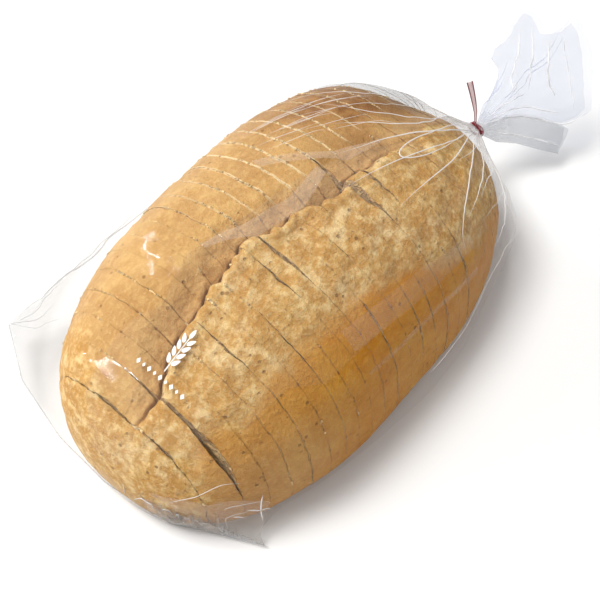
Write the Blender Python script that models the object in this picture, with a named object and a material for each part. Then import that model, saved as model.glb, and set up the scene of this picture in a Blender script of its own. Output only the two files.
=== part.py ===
"""Sliced bloomer loaf in a clear bread bag, shut at the far end with a twist tie.

Metres, +Z up. The loaf lies along X with its flat base on Z = 0, centred on the origin.
The bag's sealed bottom is at -X and its gathered neck, twist tie and open mouth are at +X.
The bag is one solid out to its film: the sliced loaf inside, the neck and the flared mouth.
"""
import math
import random

import bmesh
import bpy
from mathutils import Vector

# Loaf, to the outside of the film that lies on its crust
NEAR_LENGTH = 0.151
FAR_LENGTH = 0.147
HALF_WIDTH = 0.091
WIDEST_HEIGHT = 0.021
CROWN_RISE = 0.095
BASE_DROP = 0.0235
PLAN_POWER = 2.68
ARCH_POWER = 2.52
BASE_POWER = 3.5

# Slices
HEEL_PLACES = (-0.1504, -0.1485, -0.1450, -0.1400)
CUT_PLACES = (
    -0.1310, -0.1155, -0.1030, -0.0910, -0.0785, -0.0660, -0.0550, -0.0445, -0.0340, -0.0235, -0.0115, 0.0005,
    0.0120, 0.0230, 0.0345, 0.0460, 0.0580, 0.0700, 0.0820, 0.0940, 0.1060, 0.1180,
)
CUT_HALF_WIDTH = 0.0008
CUT_DEPTH = 0.0016
SLICE_SHIFT = 0.0009
SHIFT_SEED = 11

# Split along the crown: (distance along the loaf, sideways place)
SPLIT_LINE = ((-0.135, -0.013), (-0.091, -0.002), (-0.029, 0.004), (0.031, -0.009), (0.085, -0.015))
SPLIT_DEPTH = 0.0085
SPLIT_SPAN = (-0.110, 0.055)
SPLIT_FADE = 0.030
LEFT_FLANK = 0.018
RIGHT_FLANK = 0.004

# Slack film on the -Y side: (place along, its spread, ring angle, its spread, how far it stands off)
SLACK_BULGES = ((0.020, 0.060, 194, 20, 0.008), (0.118, 0.026, 168, 30, 0.012))

# Neck, and the flared mouth beyond the tie
TIE_PLACE = Vector((0.158, -0.017, 0.045))
NECK_RADIUS = 0.0049
NECK_START = TIE_PLACE.x - 0.005
NECK_START_RADIUS = 0.0066
NECK_HALF_LENGTH = 0.002
SHOULDER_START = 0.126
SHOULDER_RINGS = 6
TAUT_FROM = 0.096
TAUT_STEP = 0.002
TAUT_TRIES = 26
MOUTH_ACROSS = Vector((0.915, -0.404, 0.0)).normalized()
MOUTH_UP = Vector((0.225, 0.510, 0.830)).normalized()
MOUTH_FRONT = MOUTH_ACROSS.cross(MOUTH_UP).normalized()
# Reach of the cut edge from the tie, by its angle above MOUTH_ACROSS in degrees
MOUTH_REACH = (
    (-38, 0.058), (-28, 0.068), (-21, 0.070), (-17, 0.065), (-12, 0.081), (8, 0.085), (26, 0.092),
    (32, 0.084), (39, 0.072), (51, 0.077), (60, 0.062), (68, 0.045),
)
MOUTH_GAP = 0.020
MOUTH_ROUNDNESS = 0.6
MOUTH_WALL = 0.0016
MOUTH_WAVES = 4
MOUTH_WAVE_DEPTH = 0.0030
MOUTH_OUTER_SHARES = (0.10, 0.20, 0.32, 0.45, 0.62, 0.80, 1.0)
MOUTH_INNER_SHARES = (0.995, 0.80, 0.62, 0.45, 0.32)

# Flat corners of the bag's sealed bottom: outlines seen from above, and the height they lie at
EAR_OUTLINE = (
    (-0.018, 0.084), (-0.119, 0.115), (-0.138, 0.084), (-0.141, 0.060), (-0.110, 0.040), (-0.040, 0.060),
)
EAR_HEIGHT = 0.020
EAR_RISE = 0.41
FOLD_OUTLINE = ((-0.082, -0.070), (-0.098, -0.085), (-0.120, -0.086), (-0.141, -0.045), (-0.120, -0.040))
FOLD_HEIGHT = 0.009
FLAP_THICKNESS = 0.0022

# Twist tie
TIE_RING_RADIUS = 0.0064
TIE_RING_STEPS = 28
TIE_WIRE_RADIUS = 0.0011
TIE_WIRE_SIDES = 8
TIE_WIDTH = 0.0042
TIE_NARROW = 0.0030
TIE_THICKNESS = 0.0010
KNOT_OUT = Vector((0.0, -0.357, 0.934))
KNOT_DISTANCE = 0.0086
KNOT_PLACE = TIE_PLACE + KNOT_OUT * KNOT_DISTANCE
KNOT_WIDTH = 0.0034
KNOT_SINK = 0.0012
KNOT_STEPS = 11
KNOT_TWIST = 24.0
TIE_END = Vector((0.1590, -0.0060, 0.0800))
TIE_END_SINK = 0.0016
TIE_END_LEAN = 0.0015
TIE_END_STEPS = 10
TIE_STUB = Vector((0.1640, -0.0290, 0.0520))

# Ring angles in degrees, from +Y over the crown to -Y and back under the base
RING_ANGLES = (
    0, 8, 16, 24, 33, 42, 51, 60, 68, 75, 81, 86, 90, 92.5, 97, 103, 110, 118, 127, 136, 145, 154, 163, 171,
    180, 188, 198, 212, 235, 270, 305, 328, 342, 352,
)
CROWN_INDEX = RING_ANGLES.index(90)
RING_SIZE = len(RING_ANGLES)


def interpolate(table, at):
    """Straight-line value of a table of (place, value) rows, held flat past its ends."""
    if at <= table[0][0]:
        return table[0][1]
    for (x0, y0), (x1, y1) in zip(table, table[1:]):
        if at <= x1:
            return y0 + (y1 - y0) * (at - x0) / (x1 - x0)
    return table[-1][1]


def fade(x, start, end, width):
    """1 between start and end, falling smoothly to 0 over width outside them."""
    outside = max(start - x, x - end, 0.0)
    t = max(0.0, 1.0 - outside / width)
    return t * t * (3.0 - 2.0 * t)


def split_drop(x, y):
    """How far the crown sinks at a place, for the long tear in the crust."""
    strength = SPLIT_DEPTH * fade(x, *SPLIT_SPAN, SPLIT_FADE)
    across = y - interpolate(SPLIT_LINE, x)
    flank = LEFT_FLANK if across > 0 else RIGHT_FLANK
    return strength * math.exp(-abs(across) / flank)


def slack(x, angle):
    """How far the film stands off the -Y side of the crust."""
    total = 0.0
    for place, spread, turn, turn_spread, depth in SLACK_BULGES:
        total += depth * math.exp(-(((x - place) / spread) ** 2) - ((angle - turn) / turn_spread) ** 2)
    return total


def loaf_ring(x, inset=0.0, shift=(0.0, 0.0)):
    """One closed section of the bagged loaf at x, pulled in by inset, with its crown side shifted (y, z)."""
    length = NEAR_LENGTH if x < 0 else FAR_LENGTH
    left = max(1.0 - (abs(x) / length) ** PLAN_POWER, 0.0)
    width = HALF_WIDTH * left ** (1 / ARCH_POWER) - inset
    rise = CROWN_RISE * left ** (1 / ARCH_POWER) - inset
    drop = BASE_DROP * left ** (1 / BASE_POWER)
    crown_place = interpolate(SPLIT_LINE, x)
    points = []
    for angle in RING_ANGLES:
        c = math.cos(math.radians(angle))
        s = math.sin(math.radians(angle))
        y = width * math.copysign(abs(c) ** (2 / ARCH_POWER), c)
        if s > 0:
            y += crown_place * (1 - (y / width) ** 2)
            z = WIDEST_HEIGHT + rise * s ** (2 / ARCH_POWER)
            z -= split_drop(x, y)
            y += shift[0] * s
            z += shift[1] * s
        else:
            z = max(WIDEST_HEIGHT - drop * abs(s) ** (2 / BASE_POWER), 0.0)
        if c < 0:
            y -= slack(x, angle)
        points.append(Vector((x, y, z)))
    return points


def sliced_rings():
    """Rings from the near heel to the last cut, grooved at each cut, with each slice a little out of line."""
    draw = random.Random(SHIFT_SEED)
    rings = [loaf_ring(x) for x in HEEL_PLACES]
    shift = (0.0, 0.0)
    for x in CUT_PLACES:
        rings.append(loaf_ring(x - CUT_HALF_WIDTH, shift=shift))
        rings.append(loaf_ring(x, inset=CUT_DEPTH, shift=shift))
        shift = (draw.uniform(-SLICE_SHIFT, SLICE_SHIFT), draw.uniform(-SLICE_SHIFT, SLICE_SHIFT))
        rings.append(loaf_ring(x + CUT_HALF_WIDTH, shift=shift))
    return rings


def neck_ring(x, radius):
    """Round section of the gathered neck at x."""
    ring = []
    for angle in RING_ANGLES:
        turn = math.radians(angle)
        out = Vector((0.0, math.cos(turn), math.sin(turn))) * radius
        ring.append(Vector((x, TIE_PLACE.y, TIE_PLACE.z)) + out)
    return ring


def shoulder_rings():
    """Film drawn tight from the far end of the loaf to the neck.

    Each point lies on the straight line, from some section of the loaf to the neck, that clears most.
    """
    end = neck_ring(NECK_START, NECK_START_RADIUS)
    starts = [TAUT_FROM + TAUT_STEP * i for i in range(TAUT_TRIES)]
    sections = [loaf_ring(x) for x in starts]
    rings = []
    for i in range(SHOULDER_RINGS):
        x = SHOULDER_START + (NECK_START - SHOULDER_START) * i / SHOULDER_RINGS
        ring = []
        for j in range(RING_SIZE):
            lines = [
                section[j].lerp(end[j], (x - start) / (NECK_START - start))
                for start, section in zip(starts, sections)
                if start <= x
            ]
            ring.append(max(lines, key=lambda p: (p.yz - TIE_PLACE.yz).length))
        rings.append(ring)
    return rings + [end]


def mouth_point(angle, reach, out):
    """Point of the mouth at an angle and a reach from the tie, standing out from the fan's middle."""
    turn = math.radians(angle)
    ray = MOUTH_ACROSS * math.cos(turn) + MOUTH_UP * math.sin(turn)
    return TIE_PLACE + ray * reach + MOUTH_FRONT * out


def mouth_ring(share, wall=0.0):
    """Section of the flared mouth at a share of the way from the neck to the cut edge.

    Its points lie on straight pleats from the round neck. A wall gives the inner face of the film.
    """
    half = RING_SIZE // 2
    bottom = MOUTH_REACH[0][0]
    top = MOUTH_REACH[-1][0]
    trim = math.degrees(wall / (0.060 * max(share, 0.2)))
    neck = neck_ring(TIE_PLACE.x + NECK_HALF_LENGTH, NECK_RADIUS - wall)
    ring = [None] * RING_SIZE
    for j in range(RING_SIZE):
        front = j <= half
        along = j / half if front else (RING_SIZE - j) / half
        angle = (top - trim) + (bottom - top + 2 * trim) * along
        bulge = max(math.sin(math.pi * along), 0.0) ** MOUTH_ROUNDNESS
        phase = 2 * math.pi * MOUTH_WAVES * (angle - bottom) / (top - bottom)
        wave = MOUTH_WAVE_DEPTH * math.sin(phase) * bulge
        out = (MOUTH_GAP / 2 - wall) * bulge
        rim = mouth_point(angle, interpolate(MOUTH_REACH, angle), (out if front else -out) + wave)
        place = (CROWN_INDEX + j) % RING_SIZE
        ring[place] = neck[place].lerp(rim, share)
    return ring


def skin(name, rings):
    """One closed mesh through rings of equal size, with a fan over each end from its middle."""
    mesh = bmesh.new()
    rows = [[mesh.verts.new(p) for p in ring] for ring in rings]
    size = len(rings[0])
    for low, high in zip(rows, rows[1:]):
        for j in range(size):
            k = (j + 1) % size
            mesh.faces.new((low[j], low[k], high[k], high[j]))
    for row, turn in ((rows[0], -1), (rows[-1], 1)):
        middle = mesh.verts.new(sum((v.co for v in row), Vector()) / size)
        for j in range(size):
            corners = (row[j], row[(j + 1) % size], middle)
            mesh.faces.new(corners[::turn])
    bmesh.ops.triangulate(mesh, faces=mesh.faces)
    bmesh.ops.recalc_face_normals(mesh, faces=mesh.faces)
    data = bpy.data.meshes.new(name)
    mesh.to_mesh(data)
    mesh.free()
    return bpy.data.objects.new(name, data)


def flat_flap(name, outline, height):
    """Flat corner of film with the given outline, lying at a height."""
    curve = bpy.data.curves.new(name, "CURVE")
    curve.dimensions = "2D"
    curve.fill_mode = "BOTH"
    curve.extrude = FLAP_THICKNESS / 2
    spline = curve.splines.new("POLY")
    spline.points.add(len(outline) - 1)
    for point, (x, y) in zip(spline.points, outline):
        point.co = (x, y, 0.0, 1.0)
    spline.use_cyclic_u = True
    flap = bpy.data.objects.new(name, curve)
    flap.location.z = height
    return flap


def as_mesh(source, collection, rise=0.0, rise_from=0.0):
    """Closed mesh made from a curve object, which is removed. Its +X side is raised by a slope of rise."""
    collection.objects.link(source)
    bpy.context.view_layer.update()
    evaluated = source.evaluated_get(bpy.context.evaluated_depsgraph_get())
    data = bpy.data.meshes.new_from_object(evaluated)
    data.transform(source.matrix_world)
    name = source.name
    bpy.data.objects.remove(source)
    mesh = bmesh.new()
    mesh.from_mesh(data)
    bmesh.ops.remove_doubles(mesh, verts=mesh.verts, dist=0.00002)
    bmesh.ops.triangulate(mesh, faces=mesh.faces)
    for vert in mesh.verts:
        vert.co.z += rise * max(vert.co.x - rise_from, 0.0)
    bmesh.ops.recalc_face_normals(mesh, faces=mesh.faces)
    mesh.to_mesh(data)
    mesh.free()
    return bpy.data.objects.new(name, data)


def ribbon(name, path, widths, turns):
    """Flat strip along a path, with a width in metres and a turn in degrees at each point."""
    rings = []
    for i, (place, width, turn) in enumerate(zip(path, widths, turns)):
        ahead = path[min(i + 1, len(path) - 1)] - path[max(i - 1, 0)]
        ahead.normalize()
        side = ahead.cross(Vector((0.0, 1.0, 0.0))).normalized()
        flat = ahead.cross(side)
        a = math.radians(turn)
        wide = side * math.cos(a) + flat * math.sin(a)
        thin = ahead.cross(wide)
        corners = ((1, 1), (-1, 1), (-1, -1), (1, -1))
        rings.append([place + wide * width / 2 * p + thin * TIE_THICKNESS / 2 * q for p, q in corners])
    return skin(name, rings)


def tie_ring():
    """The strip's turn round the neck, drawn together to a round bundle."""
    mesh = bmesh.new()
    rows = []
    for i in range(TIE_RING_STEPS):
        around = 2 * math.pi * i / TIE_RING_STEPS
        out = Vector((0.0, math.cos(around), math.sin(around)))
        row = []
        for j in range(TIE_WIRE_SIDES):
            turn = 2 * math.pi * j / TIE_WIRE_SIDES
            offset = out * (TIE_RING_RADIUS + TIE_WIRE_RADIUS * math.cos(turn))
            offset.x += TIE_WIRE_RADIUS * math.sin(turn)
            row.append(mesh.verts.new(TIE_PLACE + offset))
        rows.append(row)
    for near, far in zip(rows, rows[1:] + rows[:1]):
        for j in range(TIE_WIRE_SIDES):
            k = (j + 1) % TIE_WIRE_SIDES
            mesh.faces.new((near[j], near[k], far[k], far[j]))
    bmesh.ops.recalc_face_normals(mesh, faces=mesh.faces)
    data = bpy.data.meshes.new("tie_ring")
    mesh.to_mesh(data)
    mesh.free()
    return bpy.data.objects.new("tie_ring", data)


def tie_knot():
    """Twisted strip that runs from the knot towards the short end."""
    path = []
    for i in range(KNOT_STEPS):
        share = 0.05 + 0.75 * i / (KNOT_STEPS - 1)
        path.append(KNOT_PLACE + (TIE_STUB - KNOT_PLACE) * share - KNOT_OUT * KNOT_SINK)
    turns = [KNOT_TWIST * i for i in range(KNOT_STEPS)]
    return ribbon("tie_knot", path, [KNOT_WIDTH] * KNOT_STEPS, turns)


def tie_long_end():
    """Flat strip that stands up from the knot, narrow and on edge at first."""
    start = KNOT_PLACE - KNOT_OUT * TIE_END_SINK
    path = []
    widths = []
    turns = []
    for i in range(TIE_END_STEPS):
        share = i / (TIE_END_STEPS - 1)
        lean = Vector((TIE_END_LEAN, 0.0, 0.0)) * math.sin(math.pi * share)
        path.append(start + (TIE_END - start) * share + lean)
        widths.append(TIE_NARROW + (TIE_WIDTH - TIE_NARROW) * min(1.0, 2.25 * share))
        turns.append(90.0 - 75.0 * min(1.0, 2.0 * share))
    return ribbon("tie_long_end", path, widths, turns)


def join(name, base, others, collection):
    """One solid from base and the others, by a Boolean union that is applied. The others are removed."""
    pieces = bpy.data.collections.new(name + "_pieces")
    bpy.context.scene.collection.children.link(pieces)
    for piece in others:
        pieces.objects.link(piece)
    collection.objects.link(base)
    union = base.modifiers.new("union", "BOOLEAN")
    union.operation = "UNION"
    union.operand_type = "COLLECTION"
    union.collection = pieces
    union.solver = "EXACT"
    bpy.context.view_layer.update()
    evaluated = base.evaluated_get(bpy.context.evaluated_depsgraph_get())
    data = bpy.data.meshes.new_from_object(evaluated)
    for piece in others:
        bpy.data.objects.remove(piece)
    bpy.data.objects.remove(base)
    bpy.data.collections.remove(pieces)
    data.name = name
    joined = bpy.data.objects.new(name, data)
    collection.objects.link(joined)
    return joined


def plain_material(name, colour, roughness):
    material = bpy.data.materials.new(name)
    material.use_nodes = True
    shader = material.node_tree.nodes["Principled BSDF"]
    shader.inputs["Base Color"].default_value = (*colour, 1.0)
    shader.inputs["Roughness"].default_value = roughness
    shader.inputs["Metallic"].default_value = 0.0
    return material


def bag_rings():
    """Every ring of the bag solid, from the near heel to the neck, out along the mouth and back inside it."""
    rings = sliced_rings() + shoulder_rings()
    rings += [neck_ring(TIE_PLACE.x + NECK_HALF_LENGTH * side, NECK_RADIUS) for side in (-1, 1)]
    rings += [mouth_ring(share) for share in MOUTH_OUTER_SHARES]
    rings += [mouth_ring(share, wall=MOUTH_WALL) for share in MOUTH_INNER_SHARES]
    return rings


def main():
    for thing in list(bpy.data.objects):
        bpy.data.objects.remove(thing)
    loaf = bpy.data.collections.new("bagged_loaf_parts")
    bpy.context.scene.collection.children.link(loaf)
    body = skin("bag_body", bag_rings())
    ear_tip = EAR_OUTLINE[1][0]
    ear = as_mesh(flat_flap("bag_ear", EAR_OUTLINE, EAR_HEIGHT), loaf, rise=EAR_RISE, rise_from=ear_tip)
    fold = as_mesh(flat_flap("bag_fold", FOLD_OUTLINE, FOLD_HEIGHT), loaf)
    bag = join("bagged_loaf", body, [ear, fold], loaf)
    bag.data.materials.clear()
    bag.data.materials.append(plain_material("floury_crust", (0.62, 0.36, 0.14), 0.55))
    tie = join("twist_tie", tie_ring(), [tie_knot(), tie_long_end()], loaf)
    tie.data.materials.clear()
    tie.data.materials.append(plain_material("pink_tie", (0.75, 0.30, 0.30), 0.35))


main()
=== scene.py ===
"""Looks of a sliced oval loaf in a clear bread bag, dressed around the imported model.

Metres, in the model's own frame: +X runs along the loaf to the twist tie and the bag's mouth,
+Y is the side with the bag's loose corner, and the flat base lies on Z = 0.
"""
import math
import random

import bpy
import numpy as np
from mathutils import Matrix, Vector
from mathutils.bvhtree import BVHTree


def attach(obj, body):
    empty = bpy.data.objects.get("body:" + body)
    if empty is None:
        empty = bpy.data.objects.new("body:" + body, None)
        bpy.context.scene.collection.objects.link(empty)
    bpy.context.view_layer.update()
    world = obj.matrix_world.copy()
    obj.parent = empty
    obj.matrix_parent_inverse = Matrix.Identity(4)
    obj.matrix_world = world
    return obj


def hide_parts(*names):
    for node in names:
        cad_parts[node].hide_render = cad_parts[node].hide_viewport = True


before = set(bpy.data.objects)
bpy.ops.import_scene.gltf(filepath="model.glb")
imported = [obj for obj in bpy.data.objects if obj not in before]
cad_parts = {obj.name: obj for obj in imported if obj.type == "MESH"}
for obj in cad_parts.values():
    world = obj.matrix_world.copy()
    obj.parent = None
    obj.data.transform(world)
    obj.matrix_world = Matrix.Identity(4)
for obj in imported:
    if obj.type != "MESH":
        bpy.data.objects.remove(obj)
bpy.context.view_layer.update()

SEED = 7

# Bare loaf
NEAR_LENGTH = 0.1500
FAR_LENGTH = 0.1458
HALF_WIDTH = 0.0900
WIDEST_HEIGHT = 0.0205
CROWN_RISE = 0.0940
BASE_DROP = 0.0230
PLAN_POWER = 2.68
ARCH_POWER = 2.52
BASE_POWER = 3.5
OUTLINE_POINTS = 460
LOAF_MIDDLE = np.array((0.0, 0.0, WIDEST_HEIGHT))
CRUST_LOWEST = 0.0006
# How much lower the +Y side of the far end lies than the plain loaf
FAR_DIP = 0.0130

# Cuts along the loaf
CUT_PLACES = (
    -0.1310, -0.1155, -0.1030, -0.0910, -0.0785, -0.0660, -0.0550, -0.0445, -0.0340, -0.0235, -0.0115, 0.0005,
    0.0120, 0.0230, 0.0345, 0.0460, 0.0580, 0.0700, 0.0820, 0.0940, 0.1060, 0.1180, 0.1300, 0.1400,
)
END_GAP = 0.0002
RIM_WIDTH = 0.0005
EDGE_WIDTH = 0.0016
# Sizes of the rings that close a slice's end, as shares of its rim
END_INSETS = (0.985, 0.955, 0.91, 0.80, 0.55, 0.28)
# Slices that stand apart: cut number, widest gap, ring angle of its middle in degrees and its spread
OPEN_GAPS = (
    (0, 0.0013, 84, 8), (0, 0.0012, 118, 12), (1, 0.0048, 134, 24), (1, 0.0016, 100, 14), (4, 0.0012, 103, 8),
    (8, 0.0012, 100, 7), (9, 0.0022, 97, 8), (14, 0.0044, 98, 11), (15, 0.0016, 100, 8), (6, 0.0006, 118, 14),
    (10, 0.0007, 140, 16), (12, 0.0008, 152, 12), (13, 0.0009, 154, 12), (16, 0.0008, 148, 12),
)

# Split along the crown: (distance along, sideways place)
SPLIT_LINE = (
    (-0.150, -0.014), (-0.124, -0.012), (-0.091, -0.001), (-0.060, 0.003), (-0.029, 0.004), (0.003, -0.003),
    (0.031, -0.009), (0.060, -0.012), (0.090, -0.015), (0.150, -0.016),
)
SPLIT_DEPTH = ((-0.138, 0.0), (-0.118, 0.0070), (-0.090, 0.0105), (0.030, 0.0105), (0.050, 0.0050), (0.085, 0.0))
SPLIT_DEEPEST = 0.0105
# Far side of the floury band: (distance along, sideways place)
FLOUR_EDGE = (
    (-0.150, -0.040), (-0.111, -0.047), (-0.093, -0.058), (-0.050, -0.053), (-0.010, -0.055), (0.020, -0.061),
    (0.045, -0.069), (0.075, -0.074), (0.150, -0.045),
)

# Film
FILM_COLUMNS = 400
FILM_LIFT = 0.0011
CROWN_LIFT = 0.0016
FILM_CLEARANCE = 0.0004
FILM_LOWEST = 0.0004
ROW_STEP = 0.0025
TIE_PLACE = np.array((0.158, -0.017, 0.045))
NECK_RADIUS = 0.0046
NECK_START = 0.153
NECK_START_RADIUS = 0.0062
TAUT_FROM = 0.090
NEAR_ROWS_FROM = -0.095
EAR_TIP = np.array((-0.119, 0.115, 0.020))
EAR_TANGENT = np.array((-0.018, 0.088, 0.060))
EAR_ANGLE = 9.0
EAR_SPREAD = 34.0
CORNER_ANGLE = 183.0
CORNER_SPREAD = 24.0
SEAL_HALF = 0.0008
BAG_END = np.array((
    (-0.119, 0.115, 0.020), (-0.138, 0.084, 0.016), (-0.147, 0.045, 0.009), (-0.149, 0.007, 0.006),
    (-0.1425, -0.036, 0.005), (-0.1180, -0.0835, 0.004),
))
PLEATS = 46
SHORT_FOLDS = 44
WRINKLES = 14
# Slack film on the -Y side: (place along, its spread, ring angle, its spread, how far it stands off)
SLACK_BULGES = ((0.020, 0.060, 194, 20, 0.008), (0.118, 0.026, 168, 30, 0.012))

# Flared mouth
MOUTH_ROWS = 64
MOUTH_HALF = 220
MOUTH_ACROSS = np.array((0.915, -0.404, 0.0))
MOUTH_UP = np.array((0.225, 0.510, 0.830))
MOUTH_FRONT = np.cross(MOUTH_ACROSS, MOUTH_UP)
# Mouth in its own plane, in metres from the tie as (across, up): its upper side, its lower side and its cut edge
MOUTH_UPPER = (
    (0.0, 0.0), (0.0025, 0.0055), (0.007, 0.013), (0.015, 0.018), (0.0205, 0.0255), (0.022, 0.0325),
    (0.0185, 0.04),
)
MOUTH_LOWER = ((0.0, 0.0), (0.002, -0.004), (0.012, -0.013), (0.0255, -0.019), (0.0415, -0.0295), (0.054, -0.037))
MOUTH_EDGE = (
    (0.0185, 0.04), (0.0215, 0.0455), (0.028, 0.048), (0.035, 0.0565), (0.043, 0.0605), (0.048, 0.061),
    (0.0535, 0.0565), (0.057, 0.0445), (0.0665, 0.0415), (0.0745, 0.0435), (0.0785, 0.047), (0.0825, 0.0405),
    (0.085, 0.0225), (0.0835, 0.003), (0.081, -0.0155), (0.0705, -0.02), (0.06, -0.019), (0.0665, -0.0255),
    (0.0625, -0.0305), (0.054, -0.037),
)
# Fold that parts the mouth's upper and lower lobes
MOUTH_PARTING = (
    (0.0, 0.004), (0.0175, 0.0015), (0.0315, -0.002), (0.045, -0.009), (0.0585, -0.0185), (0.09, -0.019),
)
# Main ridge across the mouth, by place up, and the height of the facets beside it
MOUTH_RIDGE = ((0.0, 0.0385), (0.0132, 0.0401), (0.0286, 0.0450), (0.0440, 0.0491))
MOUTH_FACETS = (
    (-0.030, 0.0), (-0.013, 0.0036), (0.0, -0.0026), (0.0085, 0.0030), (0.022, -0.0004), (0.045, 0.0022),
)
MOUTH_FOLDS = (
    (0.00050, ((0.0035, 0.0035), (0.0175, 0.0015), (0.0315, -0.002), (0.045, -0.009), (0.0585, -0.018),
               (0.07, -0.017), (0.08, -0.015))),
    (0.00045, ((0.0495, 0.05), (0.0475, 0.038), (0.045, 0.0285), (0.04, 0.013))),
    (0.00050, ((0.056, 0.039), (0.052, 0.0235), (0.0525, 0.012), (0.056, 0.002))),
    (0.00030, ((0.0385, 0.0515), (0.031, 0.035), (0.024, 0.0175))),
    (0.00025, ((0.068, 0.039), (0.069, 0.015), (0.067, -0.0115))),
    (0.00035, ((0.006, -0.0025), (0.0225, -0.0115), (0.0425, -0.023), (0.0575, -0.033))),
    (0.00030, ((0.005, 0.003), (0.02, 0.006), (0.034, 0.004), (0.048, -0.004), (0.062, -0.011))),
    (0.00028, ((0.005, 0.006), (0.018, 0.011), (0.03, 0.012), (0.038, 0.011))),
    (0.00028, ((0.026, 0.023), (0.029, 0.02), (0.025, 0.014))),
)

# Folds of the gathered film, as (distance along, ring angle) from the tie outwards, with their half width
FOLDS = (
    (0.00040, ((0.150, 98), (0.106, 97), (0.079, 89), (0.059, 80))),
    (0.00030, ((0.146, 97), (0.115, 98), (0.098, 91), (0.085, 86), (0.071, 69))),
    (0.00045, ((0.138, 106), (0.101, 101), (0.082, 98), (0.066, 98), (0.064, 100), (0.069, 102),
               (0.080, 106), (0.098, 109), (0.124, 111), (0.140, 112))),
    (0.00055, ((0.145, 110), (0.128, 110), (0.090, 97), (0.069, 92), (0.044, 89))),
    (0.00042, ((0.140, 112), (0.114, 111), (0.087, 105), (0.063, 100), (0.043, 97), (0.022, 95))),
    (0.00050, ((0.142, 115), (0.118, 114), (0.094, 115), (0.069, 113), (0.053, 112), (0.038, 112))),
    (0.00048, ((0.144, 119), (0.123, 118), (0.098, 124), (0.075, 132), (0.063, 139), (0.060, 147))),
    (0.00042, ((0.147, 122), (0.133, 122), (0.114, 128), (0.098, 132), (0.088, 134), (0.072, 137))),
    (0.00040, ((0.148, 131), (0.131, 136), (0.105, 133), (0.090, 136))),
    (0.00040, ((0.143, 133), (0.127, 138), (0.121, 142), (0.111, 148), (0.097, 157), (0.081, 160))),
    (0.00020, ((0.150, 96), (0.143, 97), (0.130, 93), (0.117, 86), (0.104, 78), (0.091, 68),
               (0.077, 58), (0.059, 46))),
    (0.00018, ((0.148, 88), (0.120, 92), (0.104, 87), (0.087, 79), (0.066, 73), (0.048, 64))),
    (0.00030, ((-0.150, 116), (-0.148, 133), (-0.140, 155), (-0.133, 165), (-0.125, 172))),
    (0.00022, ((-0.139, 160), (-0.130, 166), (-0.120, 171), (-0.108, 174))),
    (0.00020, ((-0.125, 165), (-0.116, 168), (-0.106, 172))),
    (0.00020, ((-0.142, 141), (-0.133, 148), (-0.122, 150), (-0.113, 156))),
    (0.00030, ((0.010, 176), (0.050, 177), (0.090, 170), (0.120, 160))),
)
EAR_FOLDS = (
    (0.00045, ((-0.020, 9), (-0.050, 9), (-0.090, 9), (-0.118, 9))),
    (0.00022, ((-0.030, 14), (-0.070, 15), (-0.115, 13))),
    (0.00020, ((-0.118, 10), (-0.110, 18), (-0.102, 27))),
    (0.00018, ((-0.118, 10), (-0.113, 24), (-0.109, 36))),
    (0.00020, ((-0.115, 12), (-0.100, 16), (-0.090, 24))),
)
# Bright star where the folded corner catches the light, drawn as very milky white folds: painted highlight
CORNER_STAR = (
    (0.00042, ((-0.1105, 175), (-0.1085, 171), (-0.107, 168))),
    (0.00036, ((-0.1105, 175), (-0.1135, 173), (-0.1165, 171))),
    (0.00036, ((-0.1105, 175), (-0.111, 177), (-0.112, 179))),
    (0.00030, ((-0.1105, 175), (-0.1075, 176), (-0.105, 178))),
    (0.00026, ((-0.123, 170), (-0.1205, 172), (-0.118, 174))),
)
# Second layers of film: name, milkiness, and the two long edges as (distance along, ring angle)
OVERLAPS = (
    ("film_overlap_crown", 0.045, (
        (-0.148, 92), (-0.131, 74), (-0.110, 76), (-0.099, 78), (-0.083, 84), (-0.054, 80), (-0.043, 82),
        (-0.017, 85), (0.015, 87), (0.060, 92), (0.086, 100)), (
        (-0.148, 106), (-0.134, 110), (-0.131, 121), (-0.119, 136), (-0.118, 124), (-0.102, 124),
        (-0.099, 132), (-0.088, 130), (-0.071, 130), (-0.055, 139), (0.020, 140), (0.046, 142),
        (0.086, 149))),
    ("film_overlap_streak", 0.19, ((-0.046, 81), (-0.025, 86), (0.005, 89), (0.030, 88)), (
        (-0.046, 83), (-0.025, 90), (0.005, 92), (0.030, 90))),
    ("film_overlap_pleat", 0.18, ((0.012, 71), (0.029, 80), (0.044, 88), (0.070, 92)), (
        (0.012, 76), (0.029, 84), (0.044, 91), (0.070, 93))),
    ("film_overlap_side", 0.10, ((-0.032, 128), (-0.004, 131), (0.027, 134), (0.069, 142)), (
        (-0.032, 138), (0.005, 142), (0.035, 145), (0.069, 148))),
    ("film_overlap_low", 0.10, ((-0.031, 149), (-0.007, 151), (0.027, 152), (0.066, 157)), (
        (-0.031, 151), (-0.007, 153), (0.027, 154), (0.066, 160))),
    ("film_overlap_corner", 0.20, ((-0.148, 118), (-0.144, 133), (-0.130, 158), (-0.118, 164),
                                   (-0.105, 173)), (
        (-0.148, 135), (-0.140, 168), (-0.130, 182), (-0.118, 184), (-0.105, 175))),
)
OVERLAP_LIFT = 0.0003

# White print on the film: a wheat ear with a row of small diamonds, its middle and its size
PRINT_PLACE = (-0.1010, -0.0100)
PRINT_LIFT = 0.0004

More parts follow.
